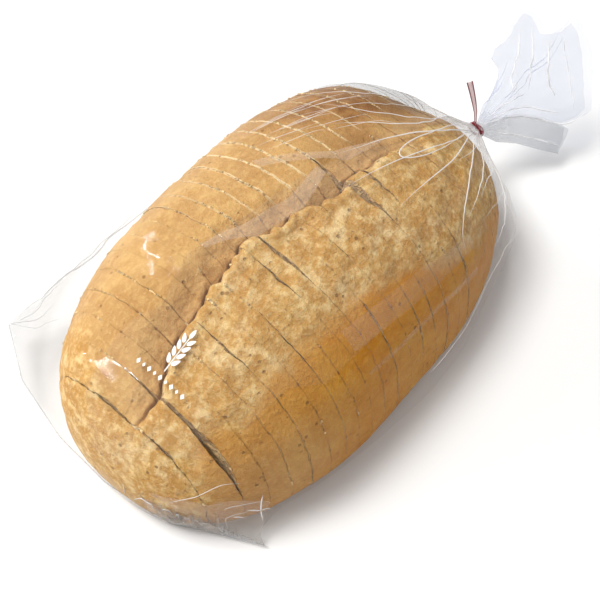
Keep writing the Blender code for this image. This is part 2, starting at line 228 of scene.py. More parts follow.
# Twist tie: paths as (x, y, z), the strip's half width and its turn in degrees at each point
TIE_LONG_END = (
    ((0.1570, -0.0161, 0.0521), 0.0008, -70), ((0.1585, -0.0140, 0.0590), 0.0009, -55),
    ((0.1592, -0.0112, 0.0660), 0.0012, -47), ((0.1592, -0.0086, 0.0730), 0.0014, -47),
    ((0.1590, -0.0060, 0.0800), 0.0016, -47),
)
TIE_KNOT = (
    ((0.1557, -0.0146, 0.0520), 0.0012, 0), ((0.1557, -0.0170, 0.0513), 0.0015, 90),
    ((0.1556, -0.0190, 0.0505), 0.0016, 200), ((0.1552, -0.0210, 0.0496), 0.0016, 310),
    ((0.1546, -0.0232, 0.0484), 0.0013, 400),
)
TIE_RING_RADIUS = 0.0049

# Finishes, as linear colour. A layer is a pattern, its low and high, how strong it is there, and a colour
SMOOTH_CRUST = (0.480, 0.262, 0.092)
SMOOTH_LAYERS = (
    ("broad", 0.35, 0.68, 0.0, 1.0, (0.620, 0.375, 0.145)),
    ("patch", 0.50, 0.75, 0.0, 0.55, (0.470, 0.240, 0.068)),
    ("fine", 0.48, 0.68, 0.0, 0.40, (0.720, 0.470, 0.200)),
    ("blotch", 0.48, 0.66, 0.0, 0.40, (0.720, 0.470, 0.190)),
)
# Painted shade: darker, mottled crust over the far end's +Y side
FAR_SHADE_CRUST = (0.260, 0.112, 0.030), (0.400, 0.200, 0.065)
DARK_CRUST = (0.545, 0.203, 0.010)
DARK_LAYERS = (
    ("patch", 0.36, 0.70, 0.0, 1.0, (0.615, 0.265, 0.024)),
    ("broad", 0.45, 0.70, 0.0, 0.5, (0.640, 0.320, 0.035)),
    ("fine", 0.48, 0.68, 0.0, 0.35, (0.680, 0.370, 0.055)),
    ("fine", 0.30, 0.44, 0.35, 0.0, (0.330, 0.130, 0.010)),
)
BARE_CRUST = (0.560, 0.300, 0.080)
FLOURY_LAYERS = (
    ("patch", 0.38, 0.62, 0.0, 1.0, (0.630, 0.380, 0.126)),
    ("bare", 0.50, 0.64, 0.0, 0.75, (0.520, 0.255, 0.058)),
    ("dusted", 0.50, 0.66, 0.0, 0.65, (0.850, 0.650, 0.350)),
    ("blotch", 0.36, 0.56, 0.75, 0.0, (0.480, 0.235, 0.050)),
    ("blotch", 0.52, 0.66, 0.0, 0.65, (0.840, 0.620, 0.300)),
    ("fine", 0.46, 0.66, 0.0, 0.30, (0.860, 0.650, 0.350)),
    ("fine", 0.34, 0.45, 0.35, 0.0, (0.460, 0.230, 0.060)),
)
TORN_CRUST = (0.520, 0.285, 0.100)
TORN_LAYERS = (
    ("fine", 0.35, 0.65, 0.0, 1.0, (0.640, 0.400, 0.170)),
    ("patch", 0.45, 0.65, 0.0, 0.6, (0.600, 0.340, 0.120)),
)
# Painted shade in the crust's small pores
PORE_SHADE = (0.230, 0.100, 0.035)
# Pale torn crumb at the cut edges on the +Y side: partly the crumb's own colour and partly painted highlight
CRUMB_RIM_AND_HIGHLIGHT = (0.820, 0.620, 0.360)
# Painted shade along the cut lines
CUT_SHADE_COLOUR = (0.260, 0.115, 0.030)
SPECK = (0.200, 0.085, 0.030)
# Painted shade in the narrow crack at the bottom of the split
SPLIT_CRACK_SHADE = (0.180, 0.075, 0.035)
CRUMB = (0.920, 0.660, 0.340)
# Painted shade in the crumb's hollows and holes
CRUMB_HOLLOW_SHADE = (0.560, 0.390, 0.220)
CRUMB_HOLE_SHADE = (0.380, 0.240, 0.120)
CLEAR_TINT = (0.985, 0.988, 0.990)
# Grey see-through tint of the film's painted shade
SHADE_TINT = (0.74, 0.744, 0.746)
CLEAR_MILK = (0.96, 0.965, 0.98)
SHINE_COLOUR = (0.97, 0.98, 1.0)
EDGE_SHINE = 0.15
FRONT_SHINE = 0.012
PRINT_WHITE = (0.88, 0.86, 0.83)
STRIP_PINKS = (0.840, 0.560, 0.590), (0.94, 0.82, 0.83)
WIRE_REDS = (0.110, 0.004, 0.010), (0.270, 0.014, 0.030)
FLOOR_GREYS = (0.840, 0.840, 0.842), (0.850, 0.850, 0.852)

# Stage
FLOOR_HALF = 6.0
CAMERA_PLACE = (-0.2590, -0.2281, 0.6064)
CAMERA_AHEAD = (0.3869, 0.3293, -0.8613)
CAMERA_RIGHT = (0.6482, -0.7615, 0.0)
CAMERA_LENS = 68.87


def table(rows, at):
    """Straight-line value of a table of (place, value) rows, held flat past its ends."""
    return np.interp(at, [row[0] for row in rows], [row[1] for row in rows])


def ease(value, low, high):
    """0 below low and 1 above high, smooth between."""
    t = np.clip((np.asarray(value, float) - low) / (high - low), 0.0, 1.0)
    return t * t * (3.0 - 2.0 * t)


def lattice(ix, iy, iz, seed):
    mixed = ((ix * 73856093) ^ (iy * 19349663) ^ (iz * 83492791) ^ (seed * 26544357)) & 0xFFFFFFFF
    mixed = ((mixed ^ (mixed >> 13)) * 1274126177) & 0xFFFFFFFF
    return ((mixed ^ (mixed >> 16)) & 0xFFFF) / 32767.5 - 1.0


def noise(points, size, seed=0):
    """Smooth noise from -1 to 1 at an array of points, with features of about size metres."""
    place = np.asarray(points, float) / size
    cell = np.floor(place).astype(np.int64)
    part = place - cell
    part = part * part * (3.0 - 2.0 * part)
    total = np.zeros(place.shape[:-1])
    for corner in range(8):
        step = np.array((corner & 1, (corner >> 1) & 1, corner >> 2))
        weight = np.prod(np.where(step == 1, part, 1.0 - part), axis=-1)
        at = cell + step
        total += weight * lattice(at[..., 0], at[..., 1], at[..., 2], seed + SEED)
    return total


def layered_noise(points, size, layers=3, seed=0):
    return sum(noise(points, size / 2**i, seed + 17 * i) / 2**i for i in range(layers))


def stack(*arrays):
    return np.stack(np.broadcast_arrays(*arrays), axis=-1)


def fill_grid(rows, columns, first=0, close=True):
    """Quads of a grid of points, row by row, closed round the columns."""
    wide = columns if close else columns - 1
    faces = []
    for i in range(rows - 1):
        for j in range(wide):
            k = (j + 1) % columns
            low, high = first + i * columns, first + (i + 1) * columns
            faces.append((low + j, low + k, high + k, high + j))
    return faces


def make_piece(name, points, faces, materials, attributes=None):
    """A mesh piece at the origin, with its materials and its named point values."""
    mesh = bpy.data.meshes.new(name)
    mesh.from_pydata([tuple(p) for p in np.asarray(points, float)], [], faces)
    for material in materials:
        mesh.materials.append(material)
    for label, values in (attributes or {}).items():
        layer = mesh.attributes.new(label, "FLOAT", "POINT")
        layer.data.foreach_set("value", np.asarray(values, np.float32).ravel())
    mesh.polygons.foreach_set("use_smooth", [True] * len(mesh.polygons))
    mesh.update()
    piece = bpy.data.objects.new(name, mesh)
    bpy.context.scene.collection.objects.link(piece)
    return piece


# Materials


class Graph:
    """Short names for adding and joining nodes."""

    def __init__(self, tree):
        self.tree = tree

    def add(self, kind, settings=None, **links):
        node = self.tree.nodes.new(kind)
        for key, value in (settings or {}).items():
            setattr(node, key, value)
        for key, value in links.items():
            self.feed(node.inputs[key.replace("_", " ")], value)
        return node

    def feed(self, socket, value):
        if isinstance(value, bpy.types.NodeSocket):
            self.tree.links.new(value, socket)
        elif isinstance(value, tuple) and len(value) == 3 and socket.type == "RGBA":
            socket.default_value = (*value, 1.0)
        else:
            socket.default_value = value

    def math(self, operation, a, b=0.0):
        node = self.add("ShaderNodeMath", {"operation": operation})
        self.feed(node.inputs[0], a)
        self.feed(node.inputs[1], b)
        return node.outputs["Value"]


class Finish(Graph):
    """One material's nodes."""

    def __init__(self, name):
        self.material = bpy.data.materials.new(name)
        self.material.use_nodes = True
        super().__init__(self.material.node_tree)
        self.tree.nodes.clear()
        self.output = self.add("ShaderNodeOutputMaterial")
        self.place = self.add("ShaderNodeTexCoord").outputs["Object"]

    def value(self, name):
        return self.add("ShaderNodeAttribute", {"attribute_name": name}).outputs["Fac"]

    def noise(self, scale, detail=3.0, roughness=0.55, place=None, stretch=None):
        place = place or self.place
        if stretch:
            place = self.add("ShaderNodeMapping", Vector=place, Scale=stretch).outputs["Vector"]
        made = self.add("ShaderNodeTexNoise", Vector=place, Scale=scale, Detail=detail, Roughness=roughness)
        return made.outputs["Fac"]

    def dots(self, scale, size):
        """1 inside scattered round spots, 0 outside."""
        cells = self.add("ShaderNodeTexVoronoi", Vector=self.place, Scale=scale)
        return self.ramp(cells.outputs["Distance"], size * 0.6, size, 1.0, 0.0)

    def ramp(self, value, low, high, start=0.0, end=1.0):
        """Start below low and end above high, smooth between."""
        node = self.add("ShaderNodeMapRange", {"interpolation_type": "SMOOTHSTEP"})
        for socket, number in zip(node.inputs, (value, low, high, start, end)):
            self.feed(socket, number)
        return node.outputs["Result"]

    def blend(self, factor, a, b):
        """Colour a at 0 and b at 1."""
        node = self.add("ShaderNodeMix", {"data_type": "RGBA"})
        self.feed(node.inputs["Factor"], factor)
        for socket, value in zip([s for s in node.inputs if s.type == "RGBA"], (a, b)):
            self.feed(socket, value)
        return next(s for s in node.outputs if s.type == "RGBA")

    def laid_over(self, base, patterns, layers):
        """Base with each layer's colour over it, as strong as a ramp of the layer's pattern."""
        for pattern, low, high, start, end, colour in layers:
            base = self.blend(self.ramp(patterns[pattern], low, high, start, end), base, colour)
        return base

    def mix(self, factor, a, b):
        """Shader a at 0 and b at 1."""
        node = self.add("ShaderNodeMixShader")
        for socket, value in zip(node.inputs, (factor, a, b)):
            self.feed(socket, value)
        return node.outputs["Shader"]

    def bump(self, height, distance, strength=1.0, normal=None):
        node = self.add("ShaderNodeBump", Height=height, Distance=distance, Strength=strength)
        if normal:
            self.feed(node.inputs["Normal"], normal)
        return node.outputs["Normal"]

    def surface(self, shader):
        self.tree.links.new(shader, self.output.inputs["Surface"])
        return self.material

    def solid(self, constants, **links):
        """Material of one plain shader, with its constants set on the shader's own sockets."""
        shader = self.add("ShaderNodeBsdfPrincipled", **links)
        for name, value in constants.items():
            shader.inputs[name].default_value = value
        return self.surface(shader.outputs["BSDF"])


def crust_finish():
    """Baked crust: golden sides, a floury mottled band, torn crumb in the split and pale torn cut edges on the +Y
    side that are partly painted highlight, with painted shade along the other cut lines, in the split's crack, in
    the pores and over the far end's +Y side.
    """
    f = Finish("baked_crust")
    patterns = {
        "broad": f.noise(26.0, 4.0),
        "bare": f.noise(45.0, 5.0, 0.6),
        "dusted": f.noise(62.0, 4.0, 0.6),
        "patch": f.noise(70.0, 5.0, 0.62),
        "blotch": f.noise(150.0, 4.0, 0.6),
        "fine": f.noise(420.0, 4.0, 0.65),
    }
    patch, fine = patterns["patch"], patterns["fine"]
    grain = f.noise(1300.0, 2.0, 0.6)
    flour, edge, pale = f.value("flour"), f.value("edge"), f.value("pale")
    smooth = f.laid_over(SMOOTH_CRUST, patterns, SMOOTH_LAYERS)
    # Painted shade over the far end's +Y side
    smooth = f.blend(f.value("far_shade"), smooth, f.blend(f.ramp(patch, 0.40, 0.62), *FAR_SHADE_CRUST))
    dark = f.laid_over(DARK_CRUST, patterns, DARK_LAYERS)
    base = f.blend(f.value("dark"), smooth, dark)
    base = f.blend(flour, base, f.laid_over(BARE_CRUST, patterns, FLOURY_LAYERS))
    torn = f.laid_over(TORN_CRUST, patterns, TORN_LAYERS)
    ragged_tear = f.math("ADD", f.value("tear"), f.math("MULTIPLY", f.math("SUBTRACT", patch, 0.5), 1.6))
    base = f.blend(f.ramp(ragged_tear, 0.10, 1.10, 0.0, 0.85), base, torn)
    # Painted shade in small pores, which the bump below also presses in
    pores = f.math("MULTIPLY", f.dots(170.0, 0.20), f.ramp(f.noise(60.0, 2.0), 0.50, 0.62))
    base = f.blend(f.math("MULTIPLY", pores, 0.65), base, PORE_SHADE)
    # Pale cut rims on the +Y side: torn crumb with painted highlight
    ragged = f.ramp(f.math("ADD", edge, f.math("MULTIPLY", f.noise(520.0, 3.0), 0.9)), 1.02, 1.22)
    base = f.blend(f.math("MULTIPLY", f.math("MULTIPLY", ragged, 0.85), pale), base, CRUMB_RIM_AND_HIGHLIGHT)
    # Painted shade along the cut lines, away from the pale rims and weaker where the line value is low
    broken = f.math("ADD", edge, f.math("MULTIPLY", f.noise(130.0, 3.0), 0.9))
    painted_cut_shade = f.math("MULTIPLY", f.ramp(broken, 1.26, 1.42), f.ramp(pale, 0.0, 0.6, 0.50, 0.0))
    base = f.blend(f.math("MULTIPLY", painted_cut_shade, f.value("line")), base, CUT_SHADE_COLOUR)
    specks = f.math("MULTIPLY", f.dots(230.0, 0.30), f.ramp(edge, 0.35, 0.9))
    base = f.blend(f.math("MULTIPLY", specks, 0.70), base, SPECK)
    # Painted shade in the split's crack
    base = f.blend(f.math("MULTIPLY", f.value("split_shade"), 0.75), base, SPLIT_CRACK_SHADE)
    normal = f.bump(fine, 0.0018, 0.75)
    normal = f.bump(patch, 0.0030, f.ramp(flour, 0.0, 1.0, 0.25, 0.8), normal)
    normal = f.bump(grain, 0.0006, 0.6, normal)
    normal = f.bump(f.math("MULTIPLY", pores, -1.0), 0.0010, 0.8, normal)
    constants = {"Specular IOR Level": 0.08, "Subsurface Weight": 0.06, "Subsurface Scale": 0.004}
    return f.solid(constants, Base_Color=base, Roughness=f.ramp(flour, 0.0, 1.0, 0.55, 0.80), Normal=normal)


def crumb_finish():
    """Soft pale crumb of the cut faces, full of small holes, with painted shade in its hollows and holes."""
    f = Finish("soft_crumb")
    cells = f.ramp(f.noise(260.0, 4.0, 0.6), 0.40, 0.60)
    base = f.blend(cells, CRUMB_HOLLOW_SHADE, CRUMB)
    base = f.blend(f.math("MULTIPLY", f.dots(260.0, 0.30), 0.6), base, CRUMB_HOLE_SHADE)
    constants = {
        "Roughness": 0.85, "Specular IOR Level": 0.15, "Subsurface Weight": 0.10, "Subsurface Scale": 0.004,
    }
    return f.solid(constants, Base_Color=base, Normal=f.bump(cells, 0.0015, 0.9))


def film_finish(name, haze, tint=CLEAR_TINT, gloss=0.07, crinkle=0.0009, milk_colour=CLEAR_MILK, glow=0.5):
    """Thin clear film: it lets light through, shines where it turns away, and has a faint milky haze.

    Glow is the share of the milkiness that light from behind brightens.
    """
    f = Finish(name)
    along = f.add("ShaderNodeUVMap").outputs["UV"]
    normal = f.bump(f.noise(1.0, 3.0, 0.6, along, (26.0, 190.0, 1.0)), crinkle * 0.8, 0.6)
    normal = f.bump(f.noise(38.0, 2.0, 0.5), crinkle, 0.6, normal)
    normal = f.bump(f.noise(150.0, 3.0, 0.55), crinkle * 0.25, 0.4, normal)
    # Painted shade: where the darkening value is high, what is seen through the film turns grey
    see = f.blend(f.value("dim"), tint, SHADE_TINT)
    clear = f.add("ShaderNodeBsdfTransparent", Color=see).outputs["BSDF"]
    milky = f.add("ShaderNodeBsdfDiffuse", Color=milk_colour, Normal=normal).outputs["BSDF"]
    through = f.add("ShaderNodeBsdfTranslucent", Color=milk_colour, Normal=normal).outputs["BSDF"]
    body = f.mix(f.math("ADD", f.value("haze"), haze), clear, f.mix(glow, milky, through))
    turned = f.add("ShaderNodeLayerWeight", Normal=normal).outputs["Facing"]
    strong = f.math("ADD", f.math("MULTIPLY", f.math("POWER", turned, 5.0), EDGE_SHINE), FRONT_SHINE)
    glossy = f.add("ShaderNodeBsdfGlossy", Color=SHINE_COLOUR, Normal=normal)
    glossy.inputs["Roughness"].default_value = gloss
    return f.surface(f.mix(strong, body, glossy.outputs["BSDF"]))


def print_finish():
    """White print, thinly worn."""
    f = Finish("white_print")
    worn = f.ramp(f.noise(900.0, 2.0), 0.30, 0.50, 0.90, 1.0)
    return f.solid({"Roughness": 0.45}, Base_Color=PRINT_WHITE, Alpha=worn)


def tie_strip_finish():
    """Thin pink see-through strip."""
    f = Finish("tie_strip")
    colour = f.blend(f.ramp(f.noise(900.0, 2.0), 0.4, 0.7, 0.0, 0.5), *STRIP_PINKS)
    return f.solid({"Roughness": 0.22, "Coat Weight": 0.5}, Base_Color=colour, Alpha=0.60)


def tie_wire_finish():
    """Dark red wire."""
    f = Finish("tie_wire")
    colour = f.blend(f.ramp(f.noise(700.0, 2.0), 0.35, 0.7), *WIRE_REDS)
    return f.solid({"Roughness": 0.30}, Base_Color=colour)


def floor_finish():
    """Plain matt floor."""
    f = Finish("pale_floor")
    tone = f.blend(f.noise(3.0, 2.0), *FLOOR_GREYS)
    return f.solid({"Roughness": 0.9, "Specular IOR Level": 0.0}, Base_Color=tone)


# Loaf and slices


def remaining(x):
    """What is left at x of the loaf's full width and height, before the section's own power: 1 to 0."""
    length = np.where(np.asarray(x) < 0, NEAR_LENGTH, FAR_LENGTH)
    return np.clip(1.0 - (np.abs(x) / length) ** PLAN_POWER, 1e-6, 1.0)


def loaf_section(x, turn, lift=0.0):
    """(y, z) of the plain loaf's section at x, by ring angle in radians from +Y over the crown."""
    left = remaining(x)
    across, up = np.cos(turn), np.sin(turn)
    width = HALF_WIDTH * left ** (1 / ARCH_POWER) + lift
    rise = CROWN_RISE * left ** (1 / ARCH_POWER) + lift
    drop = BASE_DROP * left ** (1 / BASE_POWER)
    y = width * np.sign(across) * np.abs(across) ** (2 / ARCH_POWER)
    over = WIDEST_HEIGHT + rise * np.abs(up) ** (2 / ARCH_POWER)
    under = np.maximum(WIDEST_HEIGHT - drop * np.abs(up) ** (2 / BASE_POWER), 0.0006)
    return y, np.where(up > 0, over, under)


def split_place(x):
    """Sideways place of the split at x, jagged as torn dough is."""
    line = stack(np.asarray(x, float), 0.0, 0.0)
    return table(SPLIT_LINE, x) + 0.0028 * noise(line, 0.013, 3) + 0.0017 * noise(line, 0.0045, 5)


def outline(x):
    """Points of one section, closer together at the split. Returns ring angle, y and z."""
    turn = np.linspace(0.0, 2 * math.pi, 2401)
    y, z = loaf_section(x, turn)
    middle = split_place(x)
    near_split = np.exp(-(((y - middle + 0.002) / 0.011) ** 2)) * (np.sin(turn) > 0.2)
    pace = np.hypot(np.diff(y), np.diff(z)) * (1.0 + 3.0 * near_split[1:])
    far = np.concatenate(([0.0], np.cumsum(pace)))
    at = np.linspace(0.0, far[-1], OUTLINE_POINTS + 1)[:-1]
    turn = np.interp(at, far, turn)
    return (turn, *loaf_section(x, turn))


def cut_wander(number, y, z):
    """How far a cut strays along the loaf, the same for both of its faces."""
    ring = stack(number * 0.37, y, z)
    return 0.0007 * noise(ring, 0.030, 23) + 0.00050 * layered_noise(ring, 0.0055, 2, 24)


def gap_half(number, turn):
    """Half the gap at a cut, round its ring."""
    ring = stack(np.cos(turn), np.sin(turn), number * 3.7)
    half = 0.00001 + 0.00014 * np.clip(layered_noise(ring, 0.35, 3, 21) - 0.25, 0.0, 1.0)
    for cut, width, middle, spread in OPEN_GAPS:
        if cut == number:
            half = half + 0.5 * width * np.exp(-(((np.degrees(turn) - middle) / spread) ** 2) * 1.4)
    return half


def crust_values(points):
    """Named finish values of crust points."""
    x, y, z = points[..., 0], points[..., 1], points[..., 2]
    top = ease(z, 0.030, 0.060)
    wander = 0.006 * noise(points, 0.022, 31) + 0.003 * noise(points, 0.008, 32)
    across = y - split_place(x)
    edge_y = table(FLOUR_EDGE, x) + wander
    right_band = ease(y, edge_y - 0.005, edge_y + 0.006) * (1.0 - ease(across, -0.001, 0.001))
    end_edge = -0.128 + 0.55 * np.clip(y - 0.020, 0.0, 0.05) + wander
    near_end = (1.0 - ease(x, end_edge - 0.006, end_edge + 0.006)) * 0.9
    flour = np.clip(right_band * top + near_end * ease(z, 0.006, 0.030), 0.0, 1.0)
    dark = (1.0 - ease(y, edge_y - 0.004, edge_y + 0.006)) * ease(-y, 0.0, 0.02)
    dark = dark * (0.45 + 0.55 * ease(x, -0.100, -0.030))
    depth = table(SPLIT_DEPTH, x) / SPLIT_DEEPEST
    edge = 0.0125 + 0.004 * noise(points, 0.018, 33)
    tear = ease(across, -0.002, 0.0005) * (1.0 - ease(across, edge - 0.006, edge + 0.006))
    tear = tear * np.clip(depth * 1.5, 0.0, 1.0) * top
    # Painted shade along the bottom of the split's crack
    split_shade = np.exp(-(((across - 0.0003) / 0.0014) ** 2)) * np.clip(depth * 1.4, 0.0, 1.0) * top
    # Painted shade over the far end's +Y side
    far_shade = ease(x, 0.015, 0.080) * ease(y, -0.030, 0.020) * (0.80 + 0.6 * noise(points, 0.020, 34))
    # Where the cut rims are pale, on the +Y side: partly painted highlight
    pale = ease(y, 0.002, 0.016) * ease(x, -0.050, 0.010)
    pale = pale * (1.0 - 0.6 * tear) * (1.0 - 0.6 * ease(x, 0.055, 0.085))
    # How strong the painted shade along the cut lines is: faint on the near part of the +Y flank
    line = 1.0 - 0.75 * ease(y, 0.010, 0.035) * (1.0 - ease(x, -0.030, 0.000))
    return {
        "flour": flour, "dark": dark, "tear": tear, "split_shade": split_shade, "far_shade": np.clip(far_shade, 0.0, 1.0),
        "pale": pale, "line": line,
    }


def crust_relief(points, values):
    """How far the crust stands in or out of the plain loaf."""
    x, y, z = points[..., 0], points[..., 1], points[..., 2]
    top = ease(z, 0.030, 0.055)
    across = y - split_place(x)
    depth = table(SPLIT_DEPTH, x)
    left = 1.0 - ease(across, -0.003, 0.0200)
    right = np.exp(np.clip(across, None, 0.0) / 0.0016)
    relief = -depth * np.where(across > 0, left, right) * top
    relief -= 0.30 * depth * np.exp(-((across / 0.0011) ** 2)) * top
    relief += 0.20 * depth * np.exp(-(((across + 0.0050) / 0.0042) ** 2)) * top
    relief += 0.0014 * noise(points, 0.040, 41) - 0.0006
    relief -= FAR_DIP * ease(x, 0.100, 0.138) * ease(y, -0.020, 0.030) * ease(z, 0.020, 0.060)
    relief += 0.00080 * layered_noise(points, 0.011, 3, 42) * (0.35 + values["flour"])
    relief += 0.00170 * layered_noise(points, 0.0075, 3, 43) * values["tear"]
    lips = 0.00130 * layered_noise(points, 0.0050, 3, 45) * np.exp(-((across / 0.0050) ** 2))
    relief += lips * top * depth / SPLIT_DEEPEST
    return relief


def slice_shares(start, end, first, last):
    """Shares of the way through a slice, closer at its cut edges and round the loaf's two ends."""
    rim = RIM_WIDTH / (end - start)
    if first:
        shares = 1.0 - (np.linspace(1.0, 0.0, 26) ** 1.9)
        return np.concatenate((shares[:-1], [1.0 - rim, 1.0]))
    if last:
        shares = np.concatenate(([0.0], np.linspace(1.0, 0.0, 14)[:-1] ** 1.6))
        return np.unique(np.round(1.0 - shares, 6))
    return np.concatenate(([0.0, rim], np.linspace(0.0, 1.0, 9)[1:-1], [1.0 - rim, 1.0]))


def crust_ring(number, start, end, share, push, swell):
    """Crust points of a slice, at a share of the way through it."""
    turn, y, z = outline(start + (end - start) * share)
    low = 0.0 if number == 0 else gap_half(number - 1, turn) + cut_wander(number - 1, y, z)
    high = 0.0 if number == len(CUT_PLACES) else gap_half(number, turn) - cut_wander(number, y, z)
    ring = stack(start + low + (end - high - start - low) * share, y, z)
    relief = crust_relief(ring, crust_values(ring)) + swell
    rounding = np.clip(0.00010 + 0.00022 * noise(ring, 0.006, 44), 0.0, 1.0) * (share in (0.0, 1.0))
    tangent_y, tangent_z = np.gradient(y), np.gradient(z)
    size = np.hypot(tangent_y, tangent_z) + 1e-9
    out_y, out_z = tangent_z / size, -tangent_y / size
    lift = (relief - rounding) * ease(z, 0.0, 0.004)
    up = ease(z, 0.0, 0.03)
    ring[:, 1] += out_y * lift + push[0] * up
    ring[:, 2] = np.maximum(ring[:, 2] + out_z * lift + push[1] * up, CRUST_LOWEST)
    return ring


def end_face(rim, before, count, sign, cut):
    """Rings and a middle point that close one end of a slice, and their faces.

    Before is the number of the rim's first point, count is how many points the slice has so far,
    and sign is the way along the loaf that the end looks.
    """
    middle = np.array((rim[:, 0].mean(), rim[:, 1].mean(), 0.5 * (rim[:, 2].min() + rim[:, 2].max())))
    points, faces = [], []
    for inset in END_INSETS:
        ring = middle + (rim - middle) * inset
        ring[:, 0] = middle[0] + (rim[:, 0] - middle[0]) * inset ** 13
        if cut:
            ring[:, 0] -= sign * (0.0002 + 0.00018 * noise(ring, 0.004, 51))
        points.append(ring)
        for j in range(OUTLINE_POINTS):
            k = (j + 1) % OUTLINE_POINTS
            faces.append((before + j, before + k, count + k, count + j))
        before = count
        count += OUTLINE_POINTS
    points.append(middle[None, :])
    faces += [(before + j, before + (j + 1) % OUTLINE_POINTS, count) for j in range(OUTLINE_POINTS)]
    return np.concatenate(points), faces if sign > 0 else [face[::-1] for face in faces]


def keep_rims_crisp(piece):
    """Shading breaks at the rim of a cut, where the crust meets the crumb."""
    slots = {}
    for polygon in piece.data.polygons:
        for key in polygon.edge_keys:
            slots.setdefault(key, set()).add(polygon.material_index)
    for edge in piece.data.edges:
        edge.use_edge_sharp = len(slots[edge.key]) > 1


def slice_piece(number, start, end, crust, crumb, draw):
    """One slice, its strip of crust and its two ends, and the rims of its cut faces."""
    first, last = number == 0, number == len(CUT_PLACES)
    shares = slice_shares(start, end, first, last)
    push = draw.uniform(-0.0004, 0.0004), draw.uniform(-0.0004, 0.0003)
    swell = draw.uniform(-0.0003, 0.0002)
    grid = np.array([crust_ring(number, start, end, share, push, swell) for share in shares])
    away = np.minimum(1.0 if first else shares, 1.0 if last else 1.0 - shares) * (end - start)
    values = crust_values(grid)
    values["edge"] = (1.0 - ease(away, 0.0, EDGE_WIDTH))[:, None] * (1.0 - 0.25 * values["flour"])
    points = grid.reshape(-1, 3)
    faces = fill_grid(len(grid), OUTLINE_POINTS)
    slots = [0] * len(faces)
    for row, sign, cut in ((0, -1, not first), (len(grid) - 1, 1, not last)):
        more, closing = end_face(grid[row], row * OUTLINE_POINTS, len(points), sign, cut)
        points = np.concatenate((points, more))
        faces += closing
        slots += [int(cut)] * len(closing)
    inner = np.zeros(len(points) - grid[..., 0].size)
    values = {label: np.concatenate((np.ravel(value), inner)) for label, value in values.items()}
    piece = make_piece(f"slice_{number + 1:02d}", points, faces, (crust, crumb), values)
    piece.data.polygons.foreach_set("material_index", slots)
    keep_rims_crisp(piece)
    return piece, ([] if first else [grid[0]]) + ([] if last else [grid[-1]])


def make_slices(crust, crumb):
    """Every slice, and the rims of their cut faces."""
    draw = random.Random(SEED)
    places = (-NEAR_LENGTH + END_GAP, *CUT_PLACES, FAR_LENGTH - END_GAP)
    slices, rims = [], []
    for i, (start, end) in enumerate(zip(places, places[1:])):
        piece, edges = slice_piece(i, start, end, crust, crumb, draw)
        slices.append(piece)
        rims += edges
    return slices, rims


# Pieces made by Geometry Nodes


class Maker(Graph):
    """Geometry nodes with named inputs, run once over a source object and then left as a plain mesh."""

    def __init__(self, name, **inputs):
        super().__init__(bpy.data.node_groups.new(name, "GeometryNodeTree"))
        self.given = inputs
        self.tree.interface.new_socket("Geometry", in_out="INPUT", socket_type="NodeSocketGeometry")
        self.tree.interface.new_socket("Geometry", in_out="OUTPUT", socket_type="NodeSocketGeometry")
        for label, value in inputs.items():
            kind = "NodeSocketMaterial" if isinstance(value, bpy.types.Material) else "NodeSocketFloat"
            kind = "NodeSocketInt" if isinstance(value, int) else kind
            self.tree.interface.new_socket(label, in_out="INPUT", socket_type=kind)
        self.start = self.add("NodeGroupInput")
        self.end = self.add("NodeGroupOutput")

    def take(self, label):
        return self.start.outputs[label]

    def finish(self, geometry, material):
        real = self.add("GeometryNodeRealizeInstances", Geometry=geometry).outputs["Geometry"]
        done = self.add("GeometryNodeSetMaterial", Geometry=real, Material=material).outputs["Geometry"]
        self.feed(self.end.inputs["Geometry"], done)

    def run(self, source, name):
        bpy.context.scene.collection.objects.link(source)
        modifier = source.modifiers.new(self.tree.name, "NODES")
        modifier.node_group = self.tree
        for item in self.tree.interface.items_tree:
            if item.in_out == "INPUT" and item.name in self.given:
                modifier[item.identifier] = self.given[item.name]
        bpy.context.view_layer.update()
        evaluated = source.evaluated_get(bpy.context.evaluated_depsgraph_get())
        mesh = bpy.data.meshes.new_from_object(evaluated)
        bpy.data.objects.remove(source)
        mesh.name = name
        piece = bpy.data.objects.new(name, mesh)
        bpy.context.scene.collection.objects.link(piece)
        mesh.polygons.foreach_set("use_smooth", [True] * len(mesh.polygons))
        return piece


def path_object(name, paths):
    """Curves through (place, half width, turn) rows."""
    curve = bpy.data.curves.new(name, "CURVE")
    curve.dimensions = "3D"
    curve.twist_mode = "Z_UP"
    for rows in paths:
        spline = curve.splines.new("NURBS")
        spline.order_u = 3
        spline.use_endpoint_u = True
        spline.points.add(len(rows) - 1)
        for point, (place, half_width, turn) in zip(spline.points, rows):
            point.co = (*place, 1.0)
            point.radius = half_width
            point.tilt = math.radians(turn)
    return bpy.data.objects.new(name, curve)


def swept(maker, curve, profile):
    """Mesh of a profile carried along a curve and scaled by the curve's half width."""
    node = maker.add("GeometryNodeCurveToMesh", {}, Curve=curve)
    maker.feed(node.inputs["Profile Curve"], profile)
    node.inputs["Fill Caps"].default_value = True
    if "Scale" in node.inputs:
        maker.feed(node.inputs["Scale"], maker.add("GeometryNodeInputRadius").outputs["Radius"])
    return node.outputs["Mesh"]


def fold_piece(name, paths, haze, finish):
    """Rounded folds of doubled film along paths that lie on the bag."""
    maker = Maker(name + "_maker", spacing=0.0012, haze=haze, sides=8, film=finish)
    even = maker.add("GeometryNodeResampleCurve", {"mode": "LENGTH"}, Curve=maker.take("Geometry"))
    maker.feed(even.inputs["Length"], maker.take("spacing"))
    circle = maker.add("GeometryNodeCurvePrimitiveCircle", Resolution=maker.take("sides"), Radius=1.0)
    tubes = swept(maker, even.outputs["Curve"], circle.outputs["Curve"])
    stored = maker.add("GeometryNodeStoreNamedAttribute", {"data_type": "FLOAT"}, Geometry=tubes)
    stored.inputs["Name"].default_value = "haze"
    maker.feed(stored.inputs["Value"], maker.take("haze"))
    maker.finish(stored.outputs["Geometry"], maker.take("film"))
    return maker.run(path_object(name + "_paths", paths), name)


